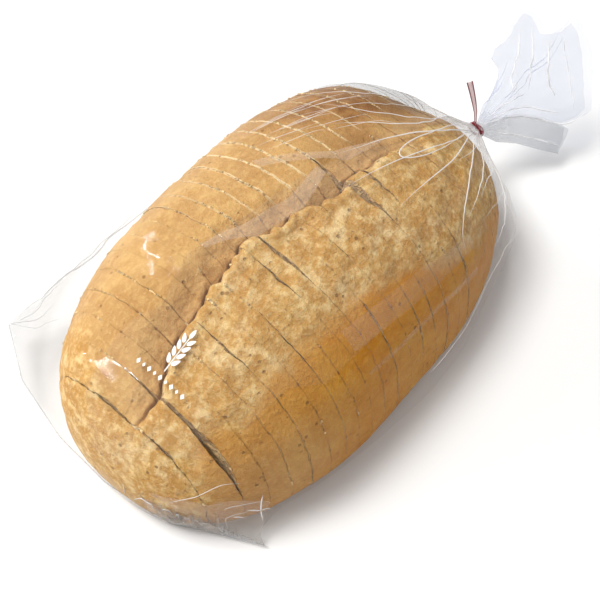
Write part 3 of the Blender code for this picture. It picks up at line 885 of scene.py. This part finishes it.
def scattered(name, places, size, spread, finish, seed=3):
    """Small rough lumps at the given places, each with its own size and turn."""
    maker = Maker(name + "_maker", size=size, spread=spread, seed=seed, crumb=finish)
    points = maker.add("GeometryNodeMeshToPoints", Mesh=maker.take("Geometry")).outputs["Points"]
    lump = maker.add("GeometryNodeMeshIcoSphere", Radius=1.0, Subdivisions=2).outputs["Mesh"]
    place = maker.add("GeometryNodeInputPosition").outputs["Position"]
    rough = maker.add("ShaderNodeTexNoise", {"noise_dimensions": "3D"}, Vector=place, Scale=1.7).outputs["Fac"]
    rough = maker.math("MULTIPLY", maker.math("SUBTRACT", rough, 0.5), 1.1)
    push = maker.add("ShaderNodeVectorMath", {"operation": "SCALE"}, Scale=rough)
    maker.feed(push.inputs[0], maker.add("GeometryNodeInputNormal").outputs["Normal"])
    lump = maker.add("GeometryNodeSetPosition", Geometry=lump, Offset=push.outputs["Vector"]).outputs["Geometry"]
    turn = maker.add("FunctionNodeRandomValue", {"data_type": "FLOAT_VECTOR"}, Seed=maker.take("seed"))
    turn.inputs["Max"].default_value = (6.28, 6.28, 6.28)
    low = maker.math("MULTIPLY", maker.take("size"), maker.math("SUBTRACT", 1.0, maker.take("spread")))
    high = maker.math("MULTIPLY", maker.take("size"), maker.math("ADD", 1.0, maker.take("spread")))
    scale = maker.add("FunctionNodeRandomValue", {"data_type": "FLOAT"}, Seed=maker.take("seed"))
    lows = [s for s in scale.inputs if s.name == "Min" and s.type == "VALUE"]
    highs = [s for s in scale.inputs if s.name == "Max" and s.type == "VALUE"]
    maker.feed(lows[0], low)
    maker.feed(highs[0], high)
    value = next(s for s in scale.outputs if s.type == "VALUE")
    laid = maker.add("GeometryNodeInstanceOnPoints", Points=points, Instance=lump, Scale=value)
    maker.feed(laid.inputs["Rotation"], turn.outputs["Value"])
    maker.finish(laid.outputs["Instances"], maker.take("crumb"))
    mesh = bpy.data.meshes.new(name + "_places")
    mesh.from_pydata([tuple(p) for p in places], [], [])
    return maker.run(bpy.data.objects.new(name + "_places", mesh), name)


def cut_crumbs(rims, finish):
    """Torn crumb that stands up in broken rows along the cut edges."""
    draw = random.Random(SEED + 5)
    places = []
    for number, rim in enumerate(rims):
        ring = stack(rim[:, 0] * 0 + number * 0.61, rim[:, 1], rim[:, 2])
        thick = noise(ring, 0.007, 91) + 0.7 * noise(ring, 0.020, 92)
        left = ease(rim[:, 1], 0.0, 0.02) * ease(rim[:, 0], -0.090, 0.010)
        left = 0.60 * left - 0.35 * ease(-rim[:, 1], 0.010, 0.030)
        for place, amount, side in zip(rim, thick, left):
            if place[2] > 0.015 and amount + side > 0.64 and draw.random() < 0.80:
                places.append(place + np.array([draw.uniform(-0.0003, 0.0003) for _ in range(3)]))
    return scattered("cut_crumbs", places, 0.00052, 0.55, finish)


# Film


def slack(x, turn):
    degrees = np.degrees(turn)
    total = 0.0
    for place, spread, middle, turn_spread, depth in SLACK_BULGES:
        total = total + depth * np.exp(-(((x - place) / spread) ** 2) - ((degrees - middle) / turn_spread) ** 2)
    return total * (np.cos(turn) < 0)


def hugging_film(x, turn):
    """Film that lies on the loaf at x, bridging the split."""
    y, z = loaf_section(x, turn, FILM_LIFT)
    points = stack(x, y, z)
    crown = np.exp(-(((y - table(SPLIT_LINE, x)) / 0.030) ** 2)) * (np.sin(turn) > 0)
    points[..., 2] += CROWN_LIFT * crown + 0.0008 * noise(points, 0.040, 41) * ease(z, 0.0, 0.03)
    points[..., 1] -= slack(x, turn)
    return points


def neck_circle(x, radius, turn):
    return stack(x, TIE_PLACE[1] + radius * np.cos(turn), TIE_PLACE[2] + radius * np.sin(turn))


def pleats(turn, reach, draw):
    """Ridges of gathered film that run out from the neck, by ring angle and distance from the tie."""
    total = np.zeros(np.broadcast(turn, reach).shape)
    for i in range(PLEATS):
        middle = 2 * math.pi * (i + draw.uniform(-0.3, 0.3)) / PLEATS
        length = draw.uniform(0.016, 0.060) if i % 3 else draw.uniform(0.060, 0.120)
        height = draw.uniform(0.0006, 0.0014)
        bend = draw.uniform(-1.0, 1.0)
        width = draw.uniform(0.0012, 0.0022)
        drift = middle + bend * reach * 1.2
        gap = (turn - drift + math.pi) % (2 * math.pi) - math.pi
        run = np.clip(reach, 0.004, None) * gap * 1.1
        fadeout = (1.0 - ease(reach, 0.45 * length, length)) * ease(reach, 0.001, 0.008)
        total += height * fadeout * np.exp(-((run / width) ** 2))
    return total


def clear_of_crust(grid, slices, gap):
    """Moves film points out along lines from the loaf's middle until they clear the crust by a gap."""
    points, faces = [], []
    for piece in slices:
        first = len(points)
        points += [v.co.copy() for v in piece.data.vertices]
        faces += [tuple(first + k for k in polygon.vertices) for polygon in piece.data.polygons]
    crust = BVHTree.FromPolygons(points, faces)
    flat = grid.reshape(-1, 3).copy()
    for i, (x, y, z) in enumerate(flat):
        if z < 0.006:
            continue
        axis = Vector((max(min(x, 0.10), -0.10), 0.0, 0.035))
        place = Vector((x, y, z))
        out = (place - axis).normalized()
        hit, _, _, _ = crust.ray_cast(place + out * 0.030, -out, 0.030 + gap)
        if hit:
            flat[i] = hit + out * gap
    return flat.reshape(grid.shape)


def on_film(grid, x, degrees):
    """Point of the bag's film at a distance along and a ring angle."""
    column = degrees / 360.0 * FILM_COLUMNS
    low = int(math.floor(column))
    part = column - low
    line = grid[:, low % FILM_COLUMNS] * (1.0 - part) + grid[:, (low + 1) % FILM_COLUMNS] * part
    order = np.argsort(line[:, 0], kind="stable")
    return np.array([np.interp(x, line[order, 0], line[order, i]) for i in range(3)])


def soften(path, times):
    """Path with its corners rounded and its two ends kept."""
    for _ in range(times):
        path[1:-1] = 0.25 * path[:-2] + 0.5 * path[1:-1] + 0.25 * path[2:]
    return path


def smooth_path(rows, steps=60):
    """Evenly spread points of a soft curve through (distance along, ring angle) rows."""
    rows = np.array(rows, float)
    run = np.r_[0.0, np.cumsum(np.hypot(np.diff(rows[:, 0]) / 0.01, np.diff(rows[:, 1]) / 5.0))]
    at = np.linspace(0.0, run[-1], steps)
    return soften(stack(np.interp(at, run, rows[:, 0]), np.interp(at, run, rows[:, 1])), 12)


def laid_fold(grid, path, widths, lift=0.0):
    """(place, half width, turn) rows of a fold that lies on the film, along a path of smooth_path."""
    places = [on_film(grid, x, degrees) + (0.0, 0.0, lift) for x, degrees in path]
    return [(place, width, 0.0) for place, width in zip(places, widths)]


def fold_paths(grid, folds):
    """Folds of one of the tables, thin at their start and drawn out at their end."""
    paths = []
    for half_width, rows in folds:
        path = smooth_path(rows)
        shares = np.linspace(0.0, 1.0, len(path))
        widths = half_width * np.clip(np.minimum(shares * 12 + 0.3, (1 - shares) * 2.5), 0.06, 1.0)
        paths.append(laid_fold(grid, path, widths, 0.0001))
    return paths


def film_folds(grid, finish):
    """Every fold of FOLDS, fine wrinkles beyond the middle of the +Y side, and short folds round the neck."""
    draw = random.Random(SEED + 9)
    paths = fold_paths(grid, [(half_width * 0.75, rows) for half_width, rows in FOLDS])
    for _ in range(WRINKLES):
        start = draw.uniform(0.020, 0.075)
        angle = draw.uniform(52.0, 84.0)
        rows = [
            (start + t * draw.uniform(0.020, 0.032), angle + 7.0 * t + draw.uniform(-0.6, 0.6))
            for t in (0.0, 0.5, 1.0, 1.5)
        ]
        path = smooth_path(rows, 24)
        widths = 0.00013 * np.clip(np.sin(np.linspace(0.0, math.pi, len(path))), 0.08, 1.0)
        paths.append(laid_fold(grid, path, widths))
    for i in range(SHORT_FOLDS):
        start = 360.0 * (i + draw.uniform(-0.35, 0.35)) / SHORT_FOLDS
        reach = draw.uniform(0.012, 0.034) if i % 3 else draw.uniform(0.035, 0.070)
        lean = draw.uniform(-9.0, 9.0)
        half_width = draw.uniform(0.00012, 0.00030)
        rows = [(0.152 - reach * t, start + lean * t * t) for t in np.linspace(0.0, 1.0, 16)]
        path = smooth_path(rows, 24)
        widths = half_width * np.clip((1.0 - np.linspace(0.0, 1.0, len(path))) * 2.0, 0.08, 1.0)
        paths.append(laid_fold(grid, path, widths))
    # Strong milkiness draws the folds as white lines: partly doubled film, partly painted highlight
    return fold_piece("film_folds", paths, 0.60, finish)


def smooth_edge(corners):
    """Even points along the sealed edge, from corner to corner."""
    steps = np.linspace(0.0, len(corners) - 1.0, 20 * (len(corners) - 1) + 1)
    return stack(*[np.interp(steps, np.arange(len(corners)), corners[:, i]) for i in range(3)])


def overlap_sheet(grid, name, haze, upper, lower, finish):
    """A second layer of film that lies on the bag between two edges."""
    start = max(upper[0][0], lower[0][0])
    stop = min(upper[-1][0], lower[-1][0])
    places = np.arange(start, stop, 0.0011)
    across = np.linspace(0.0, 1.0, 40)
    points = []
    for x in places:
        low, high = table(upper, x), table(lower, x)
        ring = np.array([on_film(grid, x, low + (high - low) * t) for t in across])
        out = ring - np.array((x, 0.0, 0.03))
        out[:, 0] = 0.0
        ring += out / np.linalg.norm(out, axis=1, keepdims=True) * OVERLAP_LIFT
        points.append(ring)
    points = np.array(points)
    faces = fill_grid(len(places), len(across), close=False)
    hazes = np.full(points.shape[:2], haze) * (1.0 + 0.25 * noise(points, 0.02, 96))
    piece = make_piece(name, points.reshape(-1, 3), faces, (finish,), {"haze": hazes})
    lay_uv(piece, points[..., 0], across[None, :].repeat(len(places), 0) * 0.1)
    return piece


def gathered_rows(turn):
    """Rows of film from the tie to the far end of the loaf, which it is stretched over."""
    neck = neck_circle(NECK_START, NECK_START_RADIUS, turn)
    starts = np.arange(TAUT_FROM, 0.1450, 0.0015)
    sections = np.array([hugging_film(x, turn) for x in starts])
    rows = [neck_circle(TIE_PLACE[0] + side, NECK_RADIUS, turn) for side in (0.002, -0.002)]
    rows.append(neck)
    for x in NECK_START - (NECK_START - TAUT_FROM) * np.linspace(0.0, 1.0, 46)[1:] ** 1.3:
        usable = starts <= x + 1e-9
        share = ((x - starts[usable]) / (NECK_START - starts[usable]))[:, None, None]
        lines = sections[usable] * (1.0 - share) + neck * share
        far = np.hypot(lines[..., 1] - TIE_PLACE[1], lines[..., 2] - TIE_PLACE[2])
        rows.append(lines[far.argmax(axis=0), np.arange(FILM_COLUMNS)])
    return rows


def creased(grid):
    """Film with soft creases, deeper where it hangs loose, and kept off the floor."""
    loose = np.clip(film_room(grid), 0.0, 0.012)
    crease = layered_noise(grid, 0.016, 3, 61) * np.clip(0.00012 + 0.16 * loose, 0.0, 0.0014)
    grid[..., 2] += crease * ease(grid[..., 2], 0.002, 0.012)
    grid[..., 1] += crease * np.sign(grid[..., 1]) * 0.7
    grid[..., 2] = np.maximum(grid[..., 2], FILM_LOWEST)
    return grid


def body_film(finish, slices):
    """The bag's film from the neck over the loaf to its sealed end and flat corners, and its points."""
    turn = np.linspace(0.0, 2 * math.pi, FILM_COLUMNS + 1)[:-1]
    places = np.arange(TAUT_FROM - ROW_STEP, NEAR_ROWS_FROM - 0.0001, -ROW_STEP)
    grid = np.array(gathered_rows(turn) + [hugging_film(x, turn) for x in places])
    grid = pull_ear(grid, turn)
    grid = np.concatenate((grid, near_rows(grid[-1], turn)))
    offset = grid - TIE_PLACE
    reach = np.linalg.norm(offset, axis=-1)
    out = np.stack((np.zeros_like(reach), offset[..., 1], offset[..., 2]), axis=-1)
    out /= np.linalg.norm(out, axis=-1, keepdims=True) + 1e-9
    lift = pleats(np.arctan2(out[..., 2], out[..., 1]), reach, random.Random(SEED + 1))
    lift = lift * (grid[..., 0] < NECK_START + 0.0001)
    grid = creased(grid + out * lift[..., None])
    grid = clear_of_crust(grid, slices, FILM_CLEARANCE)
    run = np.cumsum(np.r_[0.0, np.linalg.norm(np.diff(grid.mean(axis=1), axis=0), axis=-1)])
    x, y = grid[..., 0], grid[..., 1]
    # Painted shade on the film: darker over loose film on the +Y side, under the near end and over the far end
    loose = ease(film_room(grid), 0.003, 0.009) * ease(y, 0.0, 0.03) * (x < 0.03)
    under = ease(-x, 0.100, 0.125) * ease(-y, 0.0, 0.03) * (1.0 - ease(grid[..., 2], 0.020, 0.045))
    haze = film_haze(grid) + 0.10 * under
    far_side_shade = 0.9 * ease(x, 0.080, 0.120) * ease(y, -0.012, 0.012)
    dim = np.clip(0.50 * under + far_side_shade + 0.5 * loose, 0.0, 1.0)
    faces = [face[::-1] for face in fill_grid(len(grid), FILM_COLUMNS)]
    piece = make_piece("film_body", grid.reshape(-1, 3), faces, (finish,), {"haze": haze, "dim": dim})
    lay_uv(piece, np.broadcast_to(run[:, None], reach.shape), np.broadcast_to(turn * 0.06, reach.shape))
    return piece, grid


def loaf_share(offset, lift=0.0):
    """1 on the plain loaf's surface, less inside it and more outside, by offset from the loaf's middle."""
    x, y, z = np.abs(offset[..., 0]), np.abs(offset[..., 1]), np.abs(offset[..., 2])
    plan = (x / (NEAR_LENGTH + lift)) ** PLAN_POWER + (y / (HALF_WIDTH + lift)) ** ARCH_POWER
    above, below = (z / (CROWN_RISE + lift)) ** ARCH_POWER, (z / BASE_DROP) ** BASE_POWER
    return plan + np.where(offset[..., 2] > 0, above, below)


def film_room(grid):
    """Rough distance between the film and the loaf."""
    return (np.clip(loaf_share(grid - LOAF_MIDDLE), 1e-3, None) ** 0.40 - 1.0) * 0.075


def film_haze(grid):
    """Milkiness of the film: dense where it is gathered at the neck, faint elsewhere."""
    reach = np.linalg.norm(grid - TIE_PLACE, axis=-1)
    ear = ease(grid[..., 1], 0.088, 0.094) * (grid[..., 0] < 0.0)
    around = np.arctan2(grid[..., 2] - TIE_PLACE[2], grid[..., 1] - TIE_PLACE[1])
    bands = np.clip(np.sin(around * 9.0 + 0.6) + 0.7 * np.sin(around * 23.0), 0.0, 1.4)
    gathered = 0.62 * np.exp(-reach / 0.019) + 0.14 * np.exp(-reach / 0.045)
    return gathered + 0.13 * bands * np.exp(-reach / 0.070) + 0.05 * ear


def beside(degrees, middle, spread):
    """1 at a ring angle, falling to 0 a spread away on both sides."""
    gap = (degrees - middle + 180.0) % 360.0 - 180.0
    return np.clip(1.0 - np.abs(gap) / spread, 0.0, 1.0)


def pull_ear(grid, turn):
    """Film drawn out to the bag's loose corner, as a taut sheet above and below its edge."""
    tent = beside(np.degrees(turn), EAR_ANGLE, EAR_SPREAD)
    column = int(round(EAR_ANGLE / 360.0 * FILM_COLUMNS))
    share = (grid[:, column, 0] - EAR_TANGENT[0]) / (EAR_TIP[0] - EAR_TANGENT[0])
    edge = EAR_TANGENT + (EAR_TIP - EAR_TANGENT) * share[:, None]
    move = (edge - grid[:, column]) * (share > 0.0)[:, None]
    move[:, 0] = 0.0
    return grid + move[:, None, :] * tent[None, :, None]


def near_rows(last, turn):
    """Rows from the near end of the hugging film to the bag's sealed edge."""
    degrees = np.degrees(turn)
    along = np.where(degrees <= 180.0, degrees / 180.0, (360.0 - degrees) / 180.0)
    along = np.clip((along - EAR_ANGLE / 180.0) / (1.0 - EAR_ANGLE / 180.0), 0.0, 1.0)
    spots = np.linspace(0.0, 1.0, len(BAG_END))
    seal = stack(*[np.interp(along, spots, BAG_END[:, i]) for i in range(3)])
    seal[:, 2] += np.where(degrees > 180.0, -SEAL_HALF, SEAL_HALF) * (seal[:, 2] > 0.002)
    tent = beside(degrees, EAR_ANGLE, EAR_SPREAD)
    fold = beside(degrees, CORNER_ANGLE, CORNER_SPREAD)
    pulled = last - hugging_film(np.full_like(turn, NEAR_ROWS_FROM), turn)
    rows = []
    for t in np.linspace(0.0, 1.0, 42)[1:]:
        slide = np.sin(0.5 * math.pi * t) * (1.0 - np.maximum(tent, 0.7 * fold))
        x = NEAR_ROWS_FROM - (NEAR_LENGTH - 0.0008 + NEAR_ROWS_FROM) * slide
        hug = hugging_film(x, turn) + pulled * (1.0 - slide)[:, None]
        pull = np.maximum(ease(t, 0.25, 1.0), np.maximum(tent, fold) * t)[:, None]
        rows.append(keep_outside(hug * (1.0 - pull) + seal * pull))
    rows[-1] = seal
    return np.array(rows)


def keep_outside(points):
    """Moves points that would cut into the loaf straight out from its middle."""
    moved = points.copy()
    for _ in range(4):
        offset = moved - LOAF_MIDDLE
        share = loaf_share(offset, FILM_LIFT)
        grow = np.where(share < 1.0, np.clip(share, 0.05, None) ** (-1 / 2.6), 1.0)
        grow = np.where(moved[:, 2] > 0.004, grow, 1.0)
        moved = LOAF_MIDDLE + offset * grow[:, None]
    return moved


def lay_uv(piece, along, around):
    layer = piece.data.uv_layers.new(name="film")
    values = np.stack((np.ravel(along), np.ravel(around)), axis=-1)
    corners = np.empty(len(piece.data.loops), int)
    piece.data.loops.foreach_get("vertex_index", corners)
    layer.data.foreach_set("uv", values[corners].ravel().astype(np.float32))


def even_chain(rows, steps):
    """Points spread evenly by length along straight lines through rows."""
    rows = np.array(rows, float)
    run = np.r_[0.0, np.cumsum(np.linalg.norm(np.diff(rows, axis=0), axis=1))]
    at = np.linspace(0.0, run[-1], steps)
    return np.stack([np.interp(at, run, rows[:, i]) for i in range(rows.shape[1])], axis=-1)


def mouth_height(across, up, side):
    """How far the mouth's film stands out of its plane, and 1 on its upper lobe and 0 on its lower one."""
    facets = table(MOUTH_FACETS, across - table(MOUTH_RIDGE, up)) * ease(up, -0.006, 0.016)
    upper = ease(up - table(MOUTH_PARTING, across), -0.0016, 0.0016)
    reach = np.hypot(across, up)
    angle = np.arctan2(up, across)
    gathers = np.abs((angle * 5.5 + 0.35 * side) % 1.0 - 0.5) * 0.0045 * ease(reach, 0.002, 0.012)
    gathers = gathers * (1.0 - 0.75 * ease(reach, 0.018, 0.045))
    place = stack(across, up, side * 0.03)
    creases = 0.0012 - 0.0032 * np.abs(noise(place, 0.013, 81)) + 0.0010 * noise(place, 0.005, 83)
    drop = 0.0040 * (1.0 - upper) * ease(reach, 0.006, 0.030)
    return facets + gathers + creases * ease(reach, 0.004, 0.020) - drop, upper


def in_mouth(flat, height):
    """Places of points of the mouth's own plane, moved out of it by their height."""
    return TIE_PLACE + flat[:, :1] * MOUTH_ACROSS + flat[:, 1:] * MOUTH_UP + height[:, None] * MOUTH_FRONT


def mouth_film(finish):
    """Open mouth beyond the tie: two creased sheets that meet at both sides, with an upper and a lower lobe."""
    columns = 2 * MOUTH_HALF
    j = np.arange(columns)
    front = j <= MOUTH_HALF
    along = np.where(front, j / MOUTH_HALF, (columns - j) / MOUTH_HALF)
    side = np.where(front, 1.0, -1.0)
    upper, lower = even_chain(MOUTH_UPPER, MOUTH_ROWS), even_chain(MOUTH_LOWER, MOUTH_ROWS)
    edge = even_chain(MOUTH_EDGE, MOUTH_HALF + 1)[np.round(along * MOUTH_HALF).astype(int)]
    gap = np.clip(np.sin(math.pi * along), 0.0, None) ** 0.6
    turn = 2 * math.pi * (0.25 + j / columns)
    neck = neck_circle(TIE_PLACE[0] + 0.0005, NECK_RADIUS * 0.8, turn)
    grid, haze, dim = [], [], []
    for i, share in enumerate(np.linspace(0.0, 1.0, MOUTH_ROWS)):
        flat = upper[i] * (1.0 - along[:, None]) + lower[i] * along[:, None] + edge * share
        flat = flat - share * (upper[-1] * (1.0 - along[:, None]) + lower[-1] * along[:, None])
        flat = flat * np.where(front, 1.0, 1.0 - 0.035 * gap)[:, None]
        height, top = mouth_height(flat[:, 0], flat[:, 1], side)
        height = height * np.clip(gap * 3.0, 0.0, 1.0) + side * gap * 0.0028 * ease(share, 0.0, 0.35)
        blend = ease(share, 0.0, 0.16)
        grid.append(neck * (1.0 - blend) + in_mouth(flat, height) * blend)
        haze.append(0.10 + 0.45 * math.exp(-share / 0.12) + 0.05 * (1.0 - top))
        # Painted shade: the film of the lower lobe is darkened
        dim.append((1.0 - top) * 0.6)
    values = {"haze": np.array(haze), "dim": np.array(dim)}
    faces = fill_grid(MOUTH_ROWS, columns)
    piece = make_piece("film_mouth", np.array(grid).reshape(-1, 3), faces, (finish,), values)
    run = np.broadcast_to(np.linspace(0.0, 0.09, MOUTH_ROWS)[:, None], values["haze"].shape)
    lay_uv(piece, run, np.broadcast_to((along * 0.12)[None, :], values["haze"].shape))
    return piece


def mouth_folds(finish):
    """Doubled folds that stand on the mouth's front sheet."""
    paths = []
    for half_width, rows in MOUTH_FOLDS:
        flat = soften(even_chain(rows, 40), 10)
        height, _ = mouth_height(flat[:, 0], flat[:, 1], 1.0)
        shares = np.linspace(0.0, 1.0, len(flat))
        widths = half_width * np.clip(np.minimum(shares, 1.0 - shares) * 5.0, 0.12, 1.0)
        places = in_mouth(flat, height + 0.0030)
        paths.append([(place, width, 0.0) for place, width in zip(places, widths)])
    # Strong milkiness draws the mouth's folds as white lines: partly doubled film, partly painted highlight
    return fold_piece("mouth_folds", paths, 0.92, finish)


# Twist tie and print


def tie_profile(maker, label):
    """Section of the tie's strip, of the wires along its edges or of its knot, in half widths."""
    if label == "tie_strip":
        return maker.add("GeometryNodeCurvePrimitiveQuadrilateral", Width=2.0, Height=0.14).outputs["Curve"]
    if label == "tie_knot":
        return maker.add("GeometryNodeCurvePrimitiveCircle", Resolution=10, Radius=0.62).outputs["Curve"]
    sides = maker.add("GeometryNodeJoinGeometry")
    for side in (-1.0, 1.0):
        circle = maker.add("GeometryNodeCurvePrimitiveCircle", Resolution=8, Radius=0.24).outputs["Curve"]
        moved = maker.add("GeometryNodeTransform", Geometry=circle, Translation=(side, 0.0, 0.0))
        maker.tree.links.new(moved.outputs["Geometry"], sides.inputs["Geometry"])
    return sides.outputs["Geometry"]


def twist_tie(strip_finish, wire_finish):
    """Thin strip with a wire along each edge: the turn round the neck, the knot and the end that stands up."""
    ring = []
    for i in range(25):
        around = 2 * math.pi * i / 24 + 1.9
        wobble = 0.0003 * math.sin(3 * around)
        out = TIE_RING_RADIUS * np.array((0.0, math.cos(around), math.sin(around)))
        ring.append((tuple(TIE_PLACE + out + (wobble, 0.0, 0.0)), 0.0007, 90 + 20 * math.sin(2 * around)))
    pieces = []
    for label, finish, paths in (
        ("tie_strip", strip_finish, (TIE_LONG_END, TIE_KNOT, ring)),
        ("tie_wires", wire_finish, (TIE_LONG_END, TIE_KNOT, ring)),
        ("tie_knot", wire_finish, (TIE_KNOT,)),
    ):
        maker = Maker(label + "_maker", spacing=0.0004, finish=finish)
        even = maker.add("GeometryNodeResampleCurve", {"mode": "LENGTH"}, Curve=maker.take("Geometry"))
        maker.feed(even.inputs["Length"], maker.take("spacing"))
        tube = swept(maker, even.outputs["Curve"], tie_profile(maker, label))
        maker.finish(tube, maker.take("finish"))
        pieces.append(maker.run(path_object(label + "_paths", paths), label))
    return pieces


def flat_shape(kind, place, turn, long, wide):
    """Outline of one printed mark: a pointed grain or a diamond."""
    if kind == "grain":
        local = [(math.cos(a) * long / 2, math.sin(a) * abs(math.sin(a / 2)) ** 0.6 * wide / 2 * 1.25)
                 for a in np.linspace(0.0, 2 * math.pi, 25)[:-1]]
    else:
        local = [(long / 2, 0.0), (0.0, wide / 2), (-long / 2, 0.0), (0.0, -wide / 2)]
    c, s = math.cos(turn), math.sin(turn)
    return [(place[0] + c * u - s * v, place[1] + s * u + c * v) for u, v in local]


def print_marks():
    """Marks of the print in its own plane, in metres: a wheat ear above a row of diamonds."""
    marks = []
    for i in range(4):
        rise = 0.0010 + 0.0039 * i
        for side in (-1, 1):
            marks.append(flat_shape("grain", (side * 0.0024, rise), math.pi / 2 - side * 0.58, 0.0050, 0.0021))
    marks.append(flat_shape("grain", (0.0, 0.0166), math.pi / 2, 0.0052, 0.0021))
    stem = [(-0.00032, -0.0052), (0.00032, -0.0052), (0.00024, 0.0142), (-0.00024, 0.0142)]
    marks.append(stem)
    for i in range(9):
        size = 0.0022 if i % 2 else 0.0030
        marks.append(flat_shape("diamond", ((i - 4) * 0.0037, -0.0085), math.pi / 2, size, size * 0.8))
    return marks


def film_print(body, finish):
    """The print, laid on the crown's film with its foot towards the bag's sealed end."""
    tree = BVHTree.FromPolygons([v.co for v in body.data.vertices], [p.vertices for p in body.data.polygons])
    points, faces = [], []
    for mark in print_marks():
        first = len(points)
        middle = np.mean(mark, axis=0)
        for ring in (1.0, 0.5):
            points += [tuple(middle + (np.array(corner) - middle) * ring) for corner in mark]
        points.append(tuple(middle))
        count = len(mark)
        for j in range(count):
            k = (j + 1) % count
            faces.append((first + j, first + k, first + count + k, first + count + j))
            faces.append((first + count + j, first + count + k, first + 2 * count))
    laid = []
    for u, v in points:
        x, y = PRINT_PLACE[0] + v, PRINT_PLACE[1] - u
        hit = tree.ray_cast(Vector((x, y, 0.2)), Vector((0.0, 0.0, -1.0)))[0]
        laid.append((x, y, hit.z + PRINT_LIFT))
    return make_piece("film_print", laid, faces, (finish,))


# Stage


def aim(thing, target):
    direction = Vector(target) - thing.location
    thing.rotation_euler = direction.to_track_quat("-Z", "Y").to_euler()


def soft_light(name, place, target, size, power, colour=(1.0, 1.0, 1.0), mirrored=True, lean=0.0):
    data = bpy.data.lights.new(name, "AREA")
    data.shape = "RECTANGLE"
    data.size, data.size_y = size
    data.energy = power
    data.color = colour
    light = bpy.data.objects.new(name, data)
    bpy.context.scene.collection.objects.link(light)
    light.location = place
    light.visible_glossy = mirrored
    aim(light, target)
    light.rotation_euler.rotate_axis("Z", math.radians(lean))


def make_stage():
    """Pale floor, faint even light from all round and four lamps."""
    size = FLOOR_HALF
    corners = [(-size, -size, 0.0), (size, -size, 0.0), (size, size, 0.0), (-size, size, 0.0)]
    floor = make_piece("floor", corners, [(0, 1, 2, 3)], (floor_finish(),))
    world = bpy.data.worlds.new("studio_air")
    world.use_nodes = True
    world.node_tree.nodes["Background"].inputs["Color"].default_value = (0.97, 0.985, 1.0, 1.0)
    world.node_tree.nodes["Background"].inputs["Strength"].default_value = 0.24
    bpy.context.scene.world = world
    soft_light("key", (-0.76, 1.18, 3.28), (0.0, 0.0, 0.05), (1.35, 1.35), 121.0, (1.0, 0.985, 0.96), False)
    soft_light("overhead", (-0.8, -0.90, 3.0), (0.0, 0.0, 0.05), (2.4, 2.4), 21.0, mirrored=False)
    soft_light("strip_left", (0.07, 1.22, 0.62), (-0.09, 0.05, 0.08), (0.02, 0.90), 4.0, lean=-16.0)
    soft_light("strip_near", (-1.03, 0.91, 0.50), (-0.135, 0.045, 0.06), (0.025, 0.90), 6.2, lean=-44.0)


def make_camera():
    """Camera that looks down on the loaf from its near end."""
    data = bpy.data.cameras.new("camera")
    data.sensor_width = 36.0
    data.lens = CAMERA_LENS
    camera = bpy.data.objects.new("camera", data)
    bpy.context.scene.collection.objects.link(camera)
    ahead = Vector(CAMERA_AHEAD).normalized()
    right = Vector(CAMERA_RIGHT).normalized()
    up = right.cross(ahead)
    turned = Matrix((right, up, -ahead)).transposed().to_4x4()
    turned.translation = Vector(CAMERA_PLACE)
    camera.matrix_world = turned
    bpy.context.scene.camera = camera


def main():
    crust, crumb = crust_finish(), crumb_finish()
    film = film_finish("clear_film", 0.004)
    # Milky white film of the folds: partly the doubled film and partly painted highlight
    layer = film_finish("film_layer", 0.0, milk_colour=(0.99, 0.99, 1.0), glow=0.15)
    second = film_finish("second_layer", 0.0, milk_colour=(1.0, 0.91, 0.82))
    mouth = film_finish("mouth_film", 0.03, tint=(0.905, 0.918, 0.955), gloss=0.09, crinkle=0.0010)
    slices, rims = make_slices(crust, crumb)
    body, grid = body_film(film, slices)
    bag = [body, mouth_film(mouth), mouth_folds(layer), film_folds(grid, layer), film_print(body, print_finish())]
    sealed = [(tuple(point + (0.0, 0.0, 0.0004)), 0.00032, 0.0) for point in smooth_edge(BAG_END)]
    # Grey see-through tint of the ear's folds and sealed edge: partly the doubled film and partly painted shade
    ear = film_finish("ear_film", 0.0, (0.80, 0.81, 0.82))
    bag.append(fold_piece("ear_folds", fold_paths(grid, EAR_FOLDS) + [sealed], 0.22, ear))
    # Painted highlight: the corner's bright star
    bag.append(fold_piece("corner_star", fold_paths(grid, CORNER_STAR), 0.98, layer))
    bag += [overlap_sheet(grid, *rows, second) for rows in OVERLAPS]
    for piece in slices + bag + [cut_crumbs(rims, crumb)]:
        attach(piece, "root")
        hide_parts("bagged_loaf")
    for piece in twist_tie(tie_strip_finish(), tie_wire_finish()):
        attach(piece, "root")
        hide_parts("twist_tie")
    make_stage()
    make_camera()
    scene = bpy.context.scene
    scene.view_settings.view_transform = "Standard"
    scene.cycles.transparent_max_bounces = 24


main()
